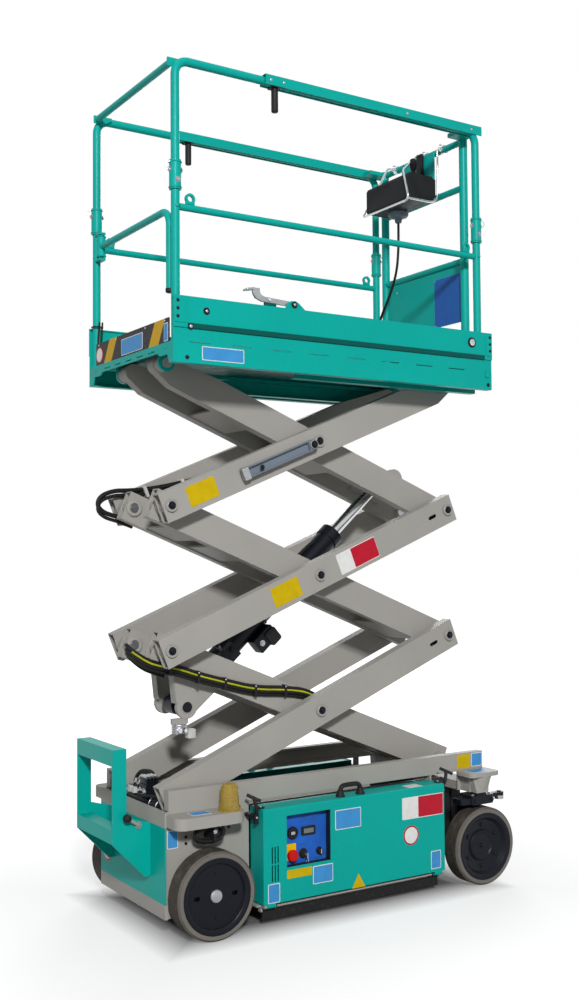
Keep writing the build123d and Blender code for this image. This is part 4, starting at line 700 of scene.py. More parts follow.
@fitted("outer_3", EDGE)
def arm_signs_3(piece):
    """Blank plate on the near upper arm."""
    plate(piece, side_axes(-552, -OUTER_BEAM_FACE, 1680, OUTER_RISE), 135, 82, YELLOW_SIGN, None)


@fitted("outer_2", EDGE)
def arm_signs_2(piece):
    """Blank plates on the near middle arm."""
    plate(piece, side_axes(-167, -OUTER_BEAM_FACE, 1279, OUTER_RISE), 140, 82, YELLOW_SIGN, None)
    two_tone(piece, side_axes(192, -OUTER_BEAM_FACE, 1424, OUTER_RISE), 215, 90, 0.36)


def prop_axes(along, y):
    """Axes on the service prop, from a distance along its arm."""
    return side_axes(*outer_point(3, along, 0, y), OUTER_RISE)


@fitted("prop", 1.2)
def prop_clip(piece):
    """Zinc end clip of the service prop."""
    piece.slab(prop_axes(344, -247.5), 30, 51, 22.5, ZINC, 4)
    piece.dome(prop_axes(420, -269.5), 10, DARK)


@fitted("outer_3", EDGE)
def prop_nut(piece):
    """Nut on the service prop's stud."""
    axes = prop_axes(690, -272)
    piece.bolt(axes, 10.5, DARK)
    piece.ring(axes, 17, 2.2, GREY)


@fitted("inner_1")
def arm_hoses(piece):
    """Hose bundle along the near lower arm that loops round its end to the cylinder's valve."""
    run = [(85, -140, 795), (55, -157, 815), (19, -161, 834), (-35, -161, 861), (-134, -161, 876), (-277, -161, 886),
           (-416, -161, 924), (-537, -161, 958), (-625, -161, 990), (-703, -162, 1004), (-766, -162, 1026),
           (-818, -150, 1066), (-826, -118, 1086), (-800, -88, 1062), (-742, -86, 1014), (-690, -85, 992),
           (-645, -84, 978), (-604, -82, 972)]
    for lift, out, radius, finish, count in ((9, 0, 8.5, HOSE, 17), (-9, 1, 8.5, HOSE, 17),
                                             (0.5, -8.5, 3.8, EARTH, 12), (-22.5, 2, 6, HOSE, 17)):
        piece.hose([(x, y + out, z + lift) for x, y, z in run[:count]], radius, finish)
    for x, z in ((-134, 876), (-277, 887), (-416, 923), (-537, 957), (-660, 995)):
        piece.slab(side_axes(x, -149.5, z - 4), 12, 50, 24.5, BLACK, 4)
        piece.dome(side_axes(x, -174, z + 14), 4, ZINC)


def upper_hose():
    """Hose that loops from the far middle arm to the far upper arm."""
    run = [(-665, 168, 1568), (-700, 168, 1580), (-735, 168, 1592), (-790, 168, 1606), (-822, 168, 1636),
           (-806, 168, 1676), (-745, 168, 1698), (-690, 168, 1699), (-606, 168, 1706), (-520, 168, 1720),
           (-430, 168, 1740), (-340, 172, 1762), (-300, 186, 1770)]
    piece = Piece("upper_hose")
    for lift, radius in ((0, 9.5), (-19, 7.5)):
        piece.hose([(x, y, z + lift) for x, y, z in run], radius, HOSE)
    hose = piece.done(edge=0)
    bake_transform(hose)


upper_hose()


@fitted("outer_3", EDGE)
def upper_hose_clips(piece):
    """Clips of the upper hose."""
    for x, z in ((-606, 1697), (-430, 1731)):
        piece.slab(side_axes(x, 152, z, OUTER_RISE), 14, 50, 34, PALE, 5)
        piece.dome(side_axes(x, 186, z + 12), 4, ZINC)


@fitted("inner_1")
def cylinder_foot(piece):
    """Pin caps, valve and folded lips of the bracket at the foot of the lift cylinder."""
    foot = inner_point(1, *CYLINDER_EYE, 0)
    for side in SIDES:
        axes = side_axes(foot.x, side * 102, foot.z)
        piece.ring(axes, 23, 3, GREY)
        piece.disc(axes, 21, 4, DARK, 28)
    x = foot.x - 14
    z = foot.z
    piece.box((x - 50, -100, z - 64), (x + 20, -84, z - 42), GREY)
    piece.box((x - 30, -96, z - 104), (x + 16, -52, z - 60), ZINC)
    for step in (8, 18, 28, 38):
        piece.ring(under_axes(x - 7, -74, z - 62 - step), 26, 3, ZINC)
    piece.rod((x - 22, -96, z - 90), (x - 22, -116, z - 90), 8, BRIGHT, 6)
    piece.rod((x + 4, -96, z - 90), (x + 4, -112, z - 90), 8, BRIGHT, 6)
    piece.box((x + 22, -100, z - 124), (x + 56, -66, z - 90), PALE, 4)
    low = inner_point(1, 1311.5, -170, 0)
    slope = inner_point(1, 1395.5, -15, 0) - low
    for side in SIDES:
        lip = facing(low + slope / 2 + FAR * (side * 80), slope.cross(FAR), slope)
        piece.slab(lip, 44, slope.length, 5, GREY, 4)


@fitted("barrel")
def barrel_fittings(piece):
    """Foot ring, valve plugs, lowering coil and hose of the lift cylinder's barrel."""
    foot = inner_point(1, *CYLINDER_EYE, 0)
    head = inner_point(3, 230, 56, 0)
    along = (head - foot).normalized()
    rise = along.cross(FAR)
    piece.ring(facing(foot + along * 100, along, FAR), 49, 3, DARK, 40)
    valve = foot + along * 280 + NEAR * 72
    for step, lift in ((-30, 14), (0, -14), (30, 14)):
        piece.bolt(facing(valve + along * step + rise * lift, NEAR, rise), 10, DARK)
    coil = foot + along * 460 - rise * 76 + NEAR * 12
    piece.slab(facing(coil, NEAR, rise), 110, 66, 52, DARK, 6)
    piece.slab(facing(coil + along * 30 - rise * 12, NEAR, rise), 56, 66, 60, BLACK, 10)
    piece.bolt(facing(coil - along * 26 + NEAR * 52, NEAR, rise), 8, ZINC)
    port = valve + rise * 32 + FAR * 28
    piece.rod(port - rise * 2, port + rise * 22, 9, ZINC, 6)
    start = port + rise * 20
    bend = start + rise * 30 + along * 30
    run = [start, start + rise * 20, bend, foot + along * 420 + rise * 62 + NEAR * 30,
           foot + along * 600 + rise * 60 + NEAR * 28, foot + along * 800 + rise * 60 + NEAR * 28,
           foot + along * 900 + rise * 56 + NEAR * 26, foot + along * 930 + rise * 47 + NEAR * 22]
    piece.hose([tuple(point) for point in run], 7.5, HOSE)
    for distance in (520, 740):
        piece.ring(facing(foot + along * distance, along, FAR), 49.5, 3, ZINC, 40)


# Chassis
@fitted("chassis")
def chassis_signs(piece):
    """Blank plates on the rails, the shelf, the pods and the rear panel."""
    for side in SIDES:
        y = side * RAIL_FACE
        side_plate(piece, 682, 756, 485, 545, y, YELLOW_SIGN, None)
        side_plate(piece, 763, 824, 486, 545, y)
        side_plate(piece, -734, -688, 336, 404, y)
    plate(piece, top_axes(-624, -337, SHELF_TOP), 78, 52)
    for side in SIDES:
        plate(piece, top_axes(FRONT_AXLE_X + 6, side * 346, POD_TOP), 96, 60)
    round_sign(piece, facing((REAR_FACE_X, 232, 236), LEFT), 50)


@fitted("chassis")
def chassis_screws(piece):
    """Screws and small holes' plugs of the chassis plates."""
    for side in SIDES:
        y = side * RAIL_FACE
        for x, z in ((-655, 372), (-655, 348), (-470, 386), (-700, 455), (-480, 455)):
            piece.dome(side_axes(x, y, z), 6, DARK)
    for y in (-150, -50, 50, 150):
        piece.bolt(facing((806, y, 255), RIGHT), 9, ZINC)


@fitted("chassis", 1)
def kingpin_pods(piece):
    """Cups round the kingpins under their top plates, and the black linings behind the steered wheels."""
    for side in SIDES:
        middle = (FRONT_AXLE_X + 10, side * 341)
        piece.lathe(top_axes(*middle, AXLE_LOW + 3), [(0, 0), (42, 0), (60, 66), (60, 81), (0, 81)], GREY, 48)
        piece.slab(under_axes(*middle, POD_TOP), 164, 116, 18, GREY, 24)
        wall = side_axes(670, side * 158, 244)
        piece.slab(wall, 256, 288, 2.5, BLACK, 12)
        for shift in (-85, 0, 85):
            piece.slab(shifted(wall, shift, 0), 16, 260, 7, BLACK, 4)


@fitted("chassis", 1)
def tray_lips(piece):
    """Grey lip of the tray under each cover, with its fold."""
    for side in SIDES:
        for y0, y1, z0, z1 in ((350, 379, 80, 85.5), (345, 352, 66, 86)):
            piece.box((-308, side * y0, z0), (456, side * y1, z1), GREY)


@fitted("chassis")
def beacon_ribs(piece):
    """Ribs of the beacon's lens, its gasket and screws."""
    x = -502
    y = -350
    for height, radius in ((28, 35.6), (40, 35), (52, 34.4), (64, 33.8), (76, 33.2)):
        piece.ring(top_axes(x, y, SHELF_TOP + height), radius, 1.7, AMBER, 40)
    piece.ring(top_axes(x, y, SHELF_TOP + 88), 31.2, 2.2, AMBER, 40)
    piece.lathe(top_axes(x, y, SHELF_TOP), [(36, 0), (45.5, 0), (45.5, 5), (42.5, 6.5), (36, 6.5)], AMBER, 40)
    for turn in range(3):
        angle = 2.1 * turn + 0.4
        spot = (x + 38.5 * math.cos(angle), y + 38.5 * math.sin(angle), SHELF_TOP + 16.5)
        piece.dome(top_axes(*spot), 3, ZINC)


@fitted("chassis")
def shelf_cable(piece):
    """Tied loops of cable under the near shelf, held by a clip on the side plate."""
    for grow, shift in ((0, 0), (6, 10), (-4, 20)):
        y = -352 + shift
        run = [(-560, -283, 412), (-556, y, 412), (-532 + grow, y, 404), (-528 + grow, y, 380),
               (-546, y + 2, 362 - grow), (-600, y + 4, 360 - grow), (-640 - grow, y, 368), (-646 - grow, y, 390),
               (-630, y, 408), (-590, y, 412 + grow / 3), (-580, -283, 412)]
        piece.hose(run, 6.5, HOSE)
    piece.slab(side_axes(-572, -284, 396), 12, 74, 80, BLACK, 5)
    piece.bolt(side_axes(-572, -364, 396), 5, ZINC)


@fitted("chassis")
def ladder_lever(piece):
    """Lowering lever with a black knob beside the ladder."""
    pivot = Vector((-800, -173, 414))
    knob = Vector((-852, -196, 448))
    axes = side_axes(*pivot)
    piece.disc(axes, 13, 6, GREY)
    piece.bolt(lifted(axes, 5), 7, ZINC)
    piece.rod(pivot + NEAR * 10, knob, 6.5, GREY)
    out = (knob - pivot).normalized()
    piece.lathe(facing(knob - out * 12, out), [(0, 0), (8, 0), (13.5, 6), (16.5, 16), (13.5, 26), (7, 31), (0, 32.5)],
                BLACK)


@fitted("chassis")
def hydraulic_fittings(piece):
    """Plugs, coils, clamps and hoses of the hydraulic unit."""
    for y in (-56, -22):
        piece.bolt(facing((-718, y, 508), LEFT), 10, ZINC)
        piece.bolt(facing((-664, y, 508), RIGHT), 10, ZINC)
    for x in (-710, -696, -682, -668):
        piece.box((x - 5, -70, 536.5), (x + 5, -8, 560), DARK, 2)
        piece.rod((x, -64, 564), (x, -14, 564), 5, ZINC)
    for y in (22, 58):
        foot = top_axes(-696, y, TANK_TOP)
        piece.drum(foot, 17.5, 30, 15.5, 34, BLACK, 28)
        piece.lathe(lifted(foot, 34), [(0, 0), (15.5, 0), (15.5, 8), (9, 10), (9, 20), (0, 20)], ZINC, 6)
        piece.box((-731, y - 10, TANK_TOP + 6), (-716, y + 10, TANK_TOP + 28), PALE)
    for y in (-100, -160):
        piece.ring(side_axes(-688, y, 463), 33.5, 2.2, ZINC, 36)
    for x, z in circle(19, 4, math.pi / 4):
        piece.dome(side_axes(-688 + x, -183, 463 + z), 4, ZINC)
    piece.lathe(top_axes(-665, 60, TANK_TOP), [(0, 0), (17, 0), (17, 12), (13, 20), (0, 21)], BLACK)
    piece.box((-712, 96, 474), (-664, 150, 497), ZINC, 4)
    for y in (108, 138):
        piece.bolt(top_axes(-688, y, 497), 9, ZINC)
    for y, high in ((-30, 560), (-14, 570)):
        run = [(-674, y, 530), (-660, y, 548), (-652, y + 14, high), (-656, 50, high), (-666, 96, 560),
               (-676, 118, 525), (-680, 122, 492)]
        piece.hose(run, 7.5, HOSE)
    run = [(-726, -40, 508), (-740, -40, 508), (-742, -70, 500), (-722, -120, 505), (-700, -160, 500),
           (-690, -176, 486), (-690, -176, 470)]
    piece.hose(run, 6, HOSE)


@fitted("chassis", 1)
def cover_latches(piece):
    """Rubber draw latches beside the ends of the covers."""
    for side in SIDES:
        for x, lean in ((-390, -10), (535, 22)):
            y = side * 352
            piece.box((x - 10, side * 284, 418), (x + 10, side * 362, 432), BLACK)
            piece.box((x - 8, y, 400), (x + 8, y + side * 12, 440), BLACK)
            spot = Vector((x, y + side * 6, 436))
            tip = spot + Vector((lean, 0, 64))
            piece.hose([spot, spot + Vector((lean * 0.2, side * 10, 20)), spot + Vector((lean * 0.6, side * 8, 42)),
                        tip], 7.5, BLACK)
            piece.rod(tip + Vector((-22, -16 * side, 12)), tip + Vector((22, 16 * side, -12)), 6.5, BLACK)
            piece.bolt(side_axes(x, side * 362, 425), 5, ZINC)


def panel_axes(x, z):
    """Axes on the ground panel."""
    return side_axes(x, CONTROL_FACE, z)


@fitted("chassis", EDGE)
def ground_controls(piece):
    """Socket, display, emergency stop, key and knob of the ground panel."""
    axes = panel_axes(-218.6, 340.8)
    piece.lathe(axes, [(0, 0), (24.5, 0), (24.5, 6), (22, 10), (18.5, 10), (17.5, 7.8), (0, 7.8)], BLACK, 36)
    piece.slab(lifted(axes, 7.6), 18, 11, 1.2, PALE, 2)
    axes = panel_axes(-144.4, 341.8)
    piece.slab(axes, 64, 34, 6.2, BLACK, 3)
    piece.slab(lifted(axes, 6), 46, 18, 0.8, SCREEN, 1.5)
    axes = panel_axes(-224.7, 255.7)
    piece.slab(shifted(axes, 0, 12), 44, 64, 3, YELLOW, 4)
    piece.lathe(axes, [(0, 0), (20.5, 2), (20.5, 11), (23.5, 13), (23.5, 19), (19, 24.5), (10, 26.5), (0, 27)], RED,
                36)
    axes = panel_axes(-169, 255.7)
    piece.lathe(axes, [(0, 0), (19.5, 0), (19.5, 3), (15, 5), (15, 11.5), (0, 11.5)], BLACK, 32)
    piece.slab(lifted(axes, 11), 3, 10, 12, ZINC)
    piece.slab(shifted(lifted(axes, 21), 2, -6), 4, 24, 12, ZINC, 1)
    piece.ring(facing((-166.5, CONTROL_FACE - 28, 232), RIGHT), 9, 1, ZINC)
    axes = panel_axes(-92.9, 255.7)
    piece.lathe(axes, [(0, 0), (15, 0), (15, 3), (12, 4), (11, 16), (9.5, 18), (0, 18)], BLACK, 28)
    piece.slab(lifted(axes, 17.5), 3, 18, 3, PALE)
    for x, z in ((-262, 414), (-68, 414), (-262, 228), (-68, 228)):
        piece.dome(panel_axes(x, z), 3.5, ZINC)
    for x, z, width, height in ((-125, 395, 80, 12), (-169, 290, 40, 10), (-93, 285, 26, 10), (-100, 229, 34, 10)):
        plate(piece, panel_axes(x, z), width, height, DEEP_SIGN, None)


# Covers
@fitted("cover_{}", name="cover_{}_signs", over=SIDES)
def cover_signs(piece, side):
    """Blank plates on the outer face of a side cover."""
    y = side * COVER_FACE
    side_plate(piece, -40, 86, 334, 412, y)
    side_plate(piece, -268, -153, 178, 211, y, YELLOW_SIGN, None)
    side_plate(piece, -148, -53, 139, 209, y)
    side_plate(piece, -355, -301, 97, 170, y)
    side_plate(piece, 447, 500, 107, 182, y)
    two_tone(piece, side_axes(406, y, 375), 218, 90, 0.38)
    round_sign(piece, side_axes(342, y, 263), 40)
    piece.prism(side_axes(72, y, 112), [(33, -20), (0, 36), (-33, -20)], SIGN_T, YELLOW_SIGN)


@fitted("cover_{}", EDGE, name="cover_{}_handle", over=SIDES)
def cover_fittings(piece, side):
    """Bow handle, grip plate and catches on the top of a side cover."""
    y = side * 352
    for x in (9, 108):
        piece.lathe(top_axes(x, y, COVER_TOP), [(0, 0), (19, 0), (19, 3), (15.5, 12), (12.5, 26), (0, 30)], BLACK)
    low = COVER_TOP + 12
    high = COVER_TOP + 42
    piece.hose([(9, y, low), (9, y, high - 14), (18, y, high), (40, y, high + 2), (77, y, high + 2), (99, y, high),
                (108, y, high - 14), (108, y, low)], 9.5, BLACK)
    piece.slab(top_axes(377, y, COVER_TOP), 74, 52, SIGN_T, WHITE_SIGN, 3)
    for x in (-366, 514):
        piece.box((x - 12, y - 12, COVER_TOP - 1), (x + 12, y + 12, COVER_TOP + 5), BLACK, 3)
        piece.dome(top_axes(x, y, COVER_TOP + 5), 5, ZINC)


@fitted("cover_near")
def window_frame(piece):
    """Dark lining round the near cover's window."""
    y = -COVER_FACE + 4
    for x0, x1, z0, z1 in ((-271, -268, 219, 423), (-62, -59, 219, 423), (-268, -62, 219, 222),
                           (-268, -62, 420, 423)):
        piece.box((x0, y, z0), (x1, y + 28, z1), BLACK)


# Wheels
def rim_edge(piece, x, side):
    """Black edge of a wheel's rim, over the foot of the tyre."""
    profile = [(120, 0), (142.5, 0), (142.5, 6.2), (139, 6.8), (130, 5.8), (121, 0.8), (120, 0)]
    piece.lathe(side_axes(x, side * 394, WHEEL_R), profile, DARK, 72)


@fitted("wheel_rear_{}", EDGE, name="rear_hub_{}", over=SIDES)
def rear_hub(piece, side):
    """Domed centre bolt with its washer on a rear wheel."""
    axes = side_axes(REAR_AXLE_X, side * 386, WHEEL_R)
    rim_edge(piece, REAR_AXLE_X, side)
    piece.lathe(axes, [(0, 0), (33, 0), (33, 1.5), (26.5, 2.5), (26.5, 4), (0, 4)], DARK, 36)
    piece.lathe(lifted(axes, 3.5), [(0, 0), (25.5, 0), (25, 1.5), (21.5, 5), (12, 7.2), (0, 7.8)], ZINC, 36)
    piece.slab(lifted(axes, 10), 26, 3, 1.6, ZINC)
    for turn in (-1, 1):
        piece.dome(shifted(axes, 0, turn * 80), 6, DARK)


@fitted("wheel_front_{}", EDGE, name="front_hub_{}", over=SIDES)
def front_hub(piece, side):
    """Cap and bolt circle in the dish of a steered wheel."""
    axes = side_axes(FRONT_AXLE_X, side * 360, WHEEL_R)
    rim_edge(piece, FRONT_AXLE_X, side)
    piece.lathe(axes, [(0, 0), (66, 0), (66, 12), (62, 17), (56, 19), (50, 14), (0, 14)], DARK, 48)
    for x, y in circle(88, 6, math.pi / 6):
        piece.bolt(shifted(axes, x, y, 12.5), 8.5, DARK)
    piece.bolt(lifted(axes, 13.5), 10, DARK)


@fitted("knuckle_{}", EDGE, name="knuckle_bolts_{}", over=SIDES)
def knuckle_bolts(piece, side):
    """Steering arm, nut of the track arm and screws of a steering yoke."""
    y = side * 356
    piece.bolt(top_axes(FRONT_AXLE_X + 120, y, 373.5), 10, DARK)
    for x in (-46, 46):
        piece.bolt(top_axes(FRONT_AXLE_X + x, side * 372, 382), 6, ZINC)
        piece.bolt(side_axes(FRONT_AXLE_X + x, side * 392, 360), 7, DARK)
    piece.box((626, side * 310, 347), (690, side * 380, 371), DARK, 16)
    piece.bolt(top_axes(648, side * 345, 371), 9, DARK)


# Platform
@fitted("platform")
def platform_signs(piece):
    """Blank plates on the side panels and on the kick board."""
    for side in SIDES:
        side_plate(piece, -637, -454, 2166, 2219, side * (PANEL_FACE - PANEL_STEP))
    plate(piece, facing((BOARD_FACE_X, -16, 2274), LEFT), 200, 66)
    plate(piece, facing((BOARD_FACE_X, -320, 2274), LEFT), 34, 70)
    round_sign(piece, facing((BOARD_FACE_X, 304, 2276), LEFT), 34)


@fitted("platform")
def panel_fittings(piece):
    """Corner plates, screws and roller discs of the side panels, and a dark teal strip along each fold that is
    painted shade.
    """
    for side in SIDES:
        y = side * PANEL_FACE
        for x, width in ((-733, 48), (797, 34)):
            piece.slab(side_axes(x, y, 2350), width, 100, 2.5, TEAL, 6)
        for z in (2322, 2352, 2382):
            piece.dome(side_axes(-742, y + side * 2.5, z), 6.5, DARK)
            piece.dome(side_axes(802, y + side * 2.5, z), 6.5, DARK)
        roller = side_axes(698, y, 2352)
        piece.drum(roller, 22, 3, 18, 4.5, DARK, 36)
        piece.lathe(lifted(roller, 4), [(0, 0), (14.5, 0), (14.5, 1.5), (9, 4.2), (0, 4.8)], BRIGHT, 32)
        for x in (-700, 795):
            piece.dome(side_axes(x, side * (PANEL_FACE - PANEL_STEP), 2172), 8, DARK)
        piece.slab(side_axes(790, side * (PANEL_FACE - PANEL_STEP), 2222), 22, 34, 4, TEAL, 3)
        plug = side_axes(-620, y, 2352)
        piece.drum(plug, 14, 2, 11, 3, DARK, 32)
        piece.dome(lifted(plug, 2.8), 6, ZINC)
        # Dark teal strip along the fold: painted shade, standing for the shadow under the panel's upper part.
        fold = [(-PANEL_STEP, 2279), (0.6, 2283), (3.5, 2300), (-1, 2302)]
        outline = [(side * out, z) for out, z in fold[::side]]
        piece.prism(facing((-700, y, 0), RIGHT), outline, 1472, PAINTED_SHADE_TEAL)
        catch = side_axes(-688, y + side * 2, 2288)
        piece.disc(catch, 10, 2, DARK)
        piece.dome(lifted(catch, 1.5), 7, ZINC)
    for y in (-330, -200, 200, 330):
        piece.dome(facing((PLATFORM_LEFT, y, 2213), LEFT), 5.5, TEAL)
    for y in (-310, -140, 140, 310):
        piece.dome(facing((BOARD_FACE_X, y, 2318), LEFT), 4, ZINC)


@fitted("platform")
def rail_fittings(piece):
    """Pins, rings and bolts of the hoops' collars and mid rails."""
    for side in SIDES:
        y = side * POST_Y
        for x, turn in ((POST_LEFT_X, -1), (POST_RIGHT_X, 1)):
            piece.ring(top_axes(x, y, COLLAR_LOW + 8), COLLAR_R, 3, TEAL)
            piece.ring(top_axes(x, y, COLLAR_HIGH - 8), COLLAR_R, 3, TEAL)
            z = COLLAR_LOW + 76
            piece.rod((x - 29, y, z), (x + 29, y, z), 5.5, ZINC)
            for end in (-1, 1):
                piece.bolt(facing((x + end * 22.5, y, z), (end, 0, 0)), 7.5, ZINC)
            piece.ring(facing((x + turn * 26, y + side * 4, z + 12), (0.5, 1, 0)), 15, 1.7, ZINC)
            piece.bolt(side_axes(x, y + side * 22.2, COLLAR_LOW + 34), 7, ZINC)
            piece.dome(side_axes(x, y + side * 16.5, MID_RAIL_Z), 8, TEAL)
        for x in (-722, -690):
            piece.dome(side_axes(x, side * 353, 3300), 3.5, ZINC)


@fitted("platform")
def entry_cables(piece):
    """Cables that rise beside the far entry post."""
    for shift in (0, 13):
        run = [(-738 + shift, 330, 2228), (-738 + shift, 330, 2270), (-745 + shift, 332, 2320),
               (-742 + shift, 337, 2370), (-734 + shift, 343, 2400), (-732 + shift, 347, 2425)]
        piece.hose(run, 4, HOSE)
    piece.ring(top_axes(POST_LEFT_X, POST_Y - 6, 2405), 23.5, 3, BLACK)


@fitted("gate")
def gate_cap(piece):
    """Black cap on the gate's leg and rings on its sleeve."""
    foot = under_axes(POST_LEFT_X, GATE_END_Y, GATE_BOTTOM + 12)
    piece.lathe(foot, [(14.3, 0), (16.2, 0), (16.2, 12), (13, 16), (0, 16)], BLACK, 28)
    for z in (2703, 2785):
        piece.ring(top_axes(POST_LEFT_X, 322, z), 19.5, 1.8, TEAL)


def lock_pedal():
    """Bent pedal of the deck lock with its pad."""
    pedal = Piece("lock_pedal")
    side = side_axes(0, -374, 0)
    bar = [(-404, 2447), (-393, 2431), (-366, 2420), (-232, 2413), (-224, 2420), (-226, 2430), (-244, 2434),
           (-352, 2440), (-368, 2446), (-374, 2456), (-376, 2472), (-410, 2470)]
    pedal.prism(side, bar, 12, ZINC)
    pad = [(-440, 2456), (-408, 2461), (-404, 2470), (-438, 2464)]
    pedal.prism(side_axes(0, -362, 0), pad, 36, ZINC)
    pedal.dome(side_axes(-330, -386, 2430), 7, BRIGHT)
    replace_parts(pedal.done("platform", edge=1), "deck_lock_pedal")


lock_pedal()


@fitted("platform")
def pedal_ear(piece):
    """Ear and roller that carry the pedal, and a dark teal block under it that is a painted shadow."""
    outline = [(-262, 2400), (-164, 2400), (-198, 2428), (-214, 2436), (-236, 2434), (-252, 2424)]
    piece.prism(side_axes(0, -387, 0), outline, 6, TEAL)
    roller = side_axes(-222, -393, 2420)
    piece.drum(roller, 12.5, 6, 9, 7, BLACK, 28)
    piece.dome(lifted(roller, 6), 6, ZINC)
    # Dark teal block under the pedal: a painted shadow.
    piece.box((-352, -388, 2401), (-300, -372, 2418), PAINTED_SHADE_TEAL, 3)


# Sliding deck
@fitted("extension")
def end_sign(piece):
    """Blank blue plate on the end frame's lower plate, with its screws."""
    axes = facing((757, -180, 2584), LEFT)
    plate(piece, axes, 200, 226, DEEP_SIGN, BLUE_SIGN)
    for side in SIDES:
        for high in (-1, 1):
            piece.dome(shifted(axes, side * 92, high * 104, SIGN_T), 3, ZINC)
    piece.dome(facing((757, 200, 2690), LEFT), 5, ZINC)


@fitted("extension", 0.8)
def box_fittings(piece):
    """Mount plate, rim, lever, stop button and gland housing of the control box."""
    piece.box((722, -130, 3060), (728, 110, 3284), TEAL, 2)
    piece.box((704, -60, 3140), (720, -22, 3292), BLACK, 2)
    piece.box((700, -140, 3070), (723, -116, 3150), BLACK, 3)
    piece.box((700, 80, 3070), (723, 104, 3150), BLACK, 3)
    top = BOX_TOP - 1
    middle = (BOX_NEAR + BOX_FAR) / 2
    for x0, x1, y0, y1 in ((BOX_LEFT + 4, BOX_LEFT + 10, BOX_NEAR + 2, BOX_FAR - 2),
                           (BOX_RIGHT - 10, BOX_RIGHT - 4, BOX_NEAR + 2, BOX_FAR - 2),
                           (BOX_LEFT + 10, BOX_RIGHT - 10, BOX_NEAR + 2, BOX_NEAR + 8),
                           (BOX_LEFT + 10, BOX_RIGHT - 10, BOX_FAR - 8, BOX_FAR - 2)):
        piece.box((x0, y0, top - 4), (x1, y1, top + 3), BLACK)
    piece.slab(top_axes(630, middle, top), 112, 300, 3, DEEP_SIGN, 6)
    lever = top_axes(640, -80, top)
    piece.lathe(lever, [(0, 0), (26, 0), (24, 12), (12, 24), (9, 40), (16, 52), (18, 82), (12, 94), (0, 96)], BLACK,
                28)
    stop = top_axes(620, 120, top)
    piece.slab(stop, 60, 60, 5, YELLOW, 5)
    piece.lathe(stop, [(0, 0), (16, 4), (16, 10), (23, 12), (23, 18), (14, 23), (0, 24)], RED, 32)
    for y in (0, 36, 72):
        piece.drum(top_axes(620, y, top), 12, 8, 8, 12, BLACK)
        piece.lathe(top_axes(664, y, top), [(0, 0), (8, 0), (8, 5), (0, 6)], PALE)
    gland = under_axes(672, 76, BOX_BOTTOM + 1)
    piece.lathe(gland, [(0, 0), (48, 0), (48, 12), (42, 22), (26, 27), (18, 30), (15, 48), (6.5, 50), (6.5, 40),
                        (0, 40)], PROP_PAINT, 32)
    for x, y in circle(37, 4, math.pi / 4):
        piece.dome(under_axes(672 + x, 76 + y, BOX_BOTTOM - 21), 4, ZINC)
    piece.box((694, -112, 3078), (701.5, -82, 3108), YELLOW, 3)


@fitted("extension")
def guard_clamps(piece):
    """Bright clamps where the rods of the control guard meet the top bar."""
    for y in (189, -36, -158):
        bar = facing((POST_RIGHT_X, y, TOP_BAR_Z), NEAR)
        piece.lathe(lifted(bar, -11), [(15.2, 0), (19.5, 0), (19.5, 22), (15.2, 22)], BRIGHT, 32)
        for turn in (-1, 1):
            piece.bolt(top_axes(POST_RIGHT_X - 10 * turn - 10, y, TOP_BAR_Z + 18.5), 4.5, ZINC)
        piece.disc(facing((POST_RIGHT_X - 17, y, TOP_BAR_Z), LEFT), 8.5, 12, BRIGHT)


def control_cable():
    """Cable that hangs from the control box to the sliding deck."""
    cable = bpy.data.objects.new("control_lead", spline(CABLE_ROUTE, CABLE_R))
    cable.data.materials.append(HOSE)
    bpy.context.scene.collection.objects.link(cable)
    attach(cable, "extension")
    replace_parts(cable, "control_cable")


control_cable()


@fitted("extension")
def channel_caps(piece):
    """End plugs of the sliding top channels, and stop screws."""
    for side in SIDES:
        y = side * POST_Y
        for x in (-347, 780):
            inside = x + (4 if x < 0 else -4)
            piece.box((x, y - 21.8, 3322.8), (inside, y + 21.8, 3326.6), TEAL)
            piece.box((x, y - 22.2, 3292), (inside, y - 18.6, 3323.2), TEAL)
            piece.box((x, y + 18.6, 3292), (inside, y + 22.2, 3323.2), TEAL)
        for x in (-322, -262, 360, 720):
            piece.dome(side_axes(x, y + side * 22.3, 3306), 6, ZINC)


# Stage
def floor():
    """White floor that keeps the object's shadow, with a painted shadow under the machine's footprint: a darker tone
    and no glow there.
    """
    half = FLOOR_HALF
    mesh = bpy.data.meshes.new("floor")
    mesh.from_pydata([(-half, -half, 0), (half, -half, 0), (half, half, 0), (-half, half, 0)], [], [(0, 1, 2, 3)])
    ground = bpy.data.objects.new("floor", mesh)
    bpy.context.scene.collection.objects.link(ground)
    look = Finish("floor")
    x, y, _ = look.axes(look.place)
    beyond = [look.maths("SUBTRACT", look.maths("ABSOLUTE", value), reach)
              for value, reach in ((x, FLOOR_DARK_X), (y, WHEEL_FACE / MM_PER_M))]
    outside = look.maths("MAXIMUM", *beyond)
    open_tone = look.mix(look.noise(1.5), (FLOOR_TONE,) * 3, (FLOOR_TONE + 0.02,) * 3)
    # Painted shadow: the floor's tone is darker under the machine's footprint, and the glow below leaves it out.
    tone = look.mix(look.spread(outside, 0, 1, -0.08, 0.10), (FLOOR_PAINTED_SHADOW,) * 3, open_tone)
    glow = look.maths("ADD", look.spread(outside, 0.0, FLOOR_GLOW, -0.12, 0.10),
                      look.spread(outside, 0.0, 1 - FLOOR_GLOW, 0.10, 3.0))
    look.shade({"Base Color": tone, "Roughness": 0.9, "Specular IOR Level": 0.0, "Emission Color": (1, 1, 1),
                "Emission Strength": look.times(glow, look.seen())})
    mesh.materials.append(look.holder)


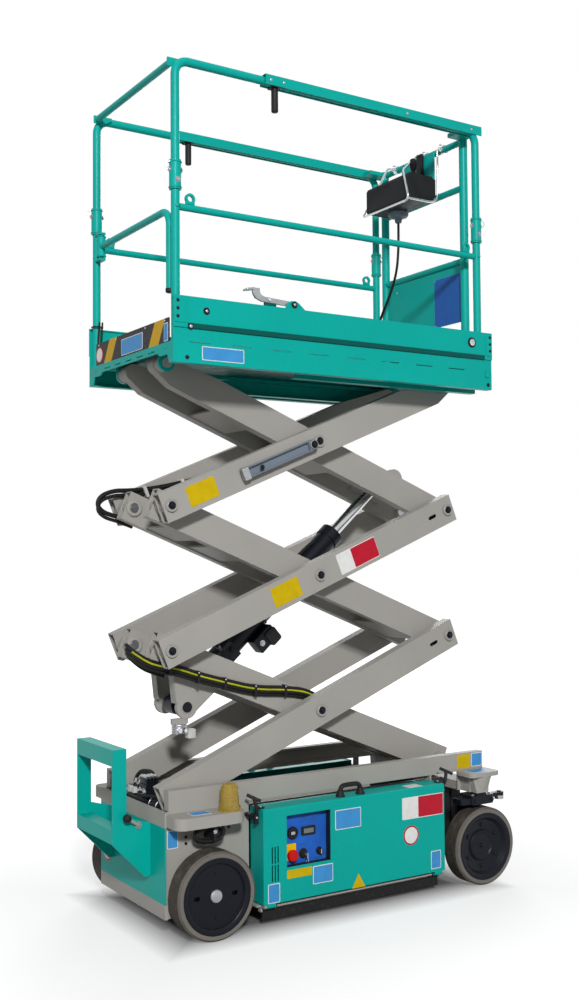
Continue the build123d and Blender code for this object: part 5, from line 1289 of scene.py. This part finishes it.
def area_light(name, place, target, size, watts):
    """Square soft light aimed at a point."""
    data = bpy.data.lights.new(name, "AREA")
    data.shape = "SQUARE"
    data.size = size
    data.energy = watts
    lamp = bpy.data.objects.new(name, data)
    lamp.location = place
    lamp.rotation_mode = "QUATERNION"
    lamp.rotation_quaternion = (Vector(target) - Vector(place)).to_track_quat("-Z", "Y")
    bpy.context.scene.collection.objects.link(lamp)


def lights():
    """Low sun from the near left, weak fills from the left and from behind, and a white sky."""
    area_light("key", (-6.0, -12.3, 7.7), (0, 0, 1.6), 1.4, KEY_WATTS)
    area_light("fill", (-6.5, -2.0, 3.5), (0, 0, 1.5), 4.0, FILL_WATTS)
    area_light("back", (6.0, 7.0, 5.5), (0, 0, 1.5), 5.0, BACK_WATTS)
    world = bpy.data.worlds.new("studio")
    bpy.context.scene.world = world
    look = Look(world)
    sky = look.node("Background", {"Color": (0.94, 0.97, 1.0), "Strength": SKY_STRENGTH})
    white = look.node("Background", {"Color": (1, 1, 1), "Strength": 1.0})
    mix = look.node("MixShader", {0: look.seen(), 1: sky.outputs[0], 2: white.outputs[0]})
    look.feed(look.tree.nodes["World Output"].inputs["Surface"], mix.outputs[0])


def camera():
    """Camera at the photograph's place and angle."""
    ahead = Vector((math.cos(VIEW_YAW) * math.cos(VIEW_PITCH), math.sin(VIEW_YAW) * math.cos(VIEW_PITCH),
                    math.sin(VIEW_PITCH)))
    side = Vector((math.sin(VIEW_YAW), -math.cos(VIEW_YAW), 0))
    top = side.cross(ahead)
    across = side * math.cos(VIEW_ROLL) + top * math.sin(VIEW_ROLL)
    upward = top * math.cos(VIEW_ROLL) - side * math.sin(VIEW_ROLL)
    data = bpy.data.cameras.new("camera")
    data.lens = LENS_MM
    data.sensor_width = SENSOR_MM
    eye = bpy.data.objects.new("camera", data)
    turn = Matrix((across, upward, -ahead)).transposed()
    eye.matrix_world = Matrix.Translation(CAMERA_PLACE) @ turn.to_4x4()
    bpy.context.scene.collection.objects.link(eye)
    bpy.context.scene.camera = eye


floor()
lights()
camera()
bpy.context.scene.view_settings.view_transform = "Standard"
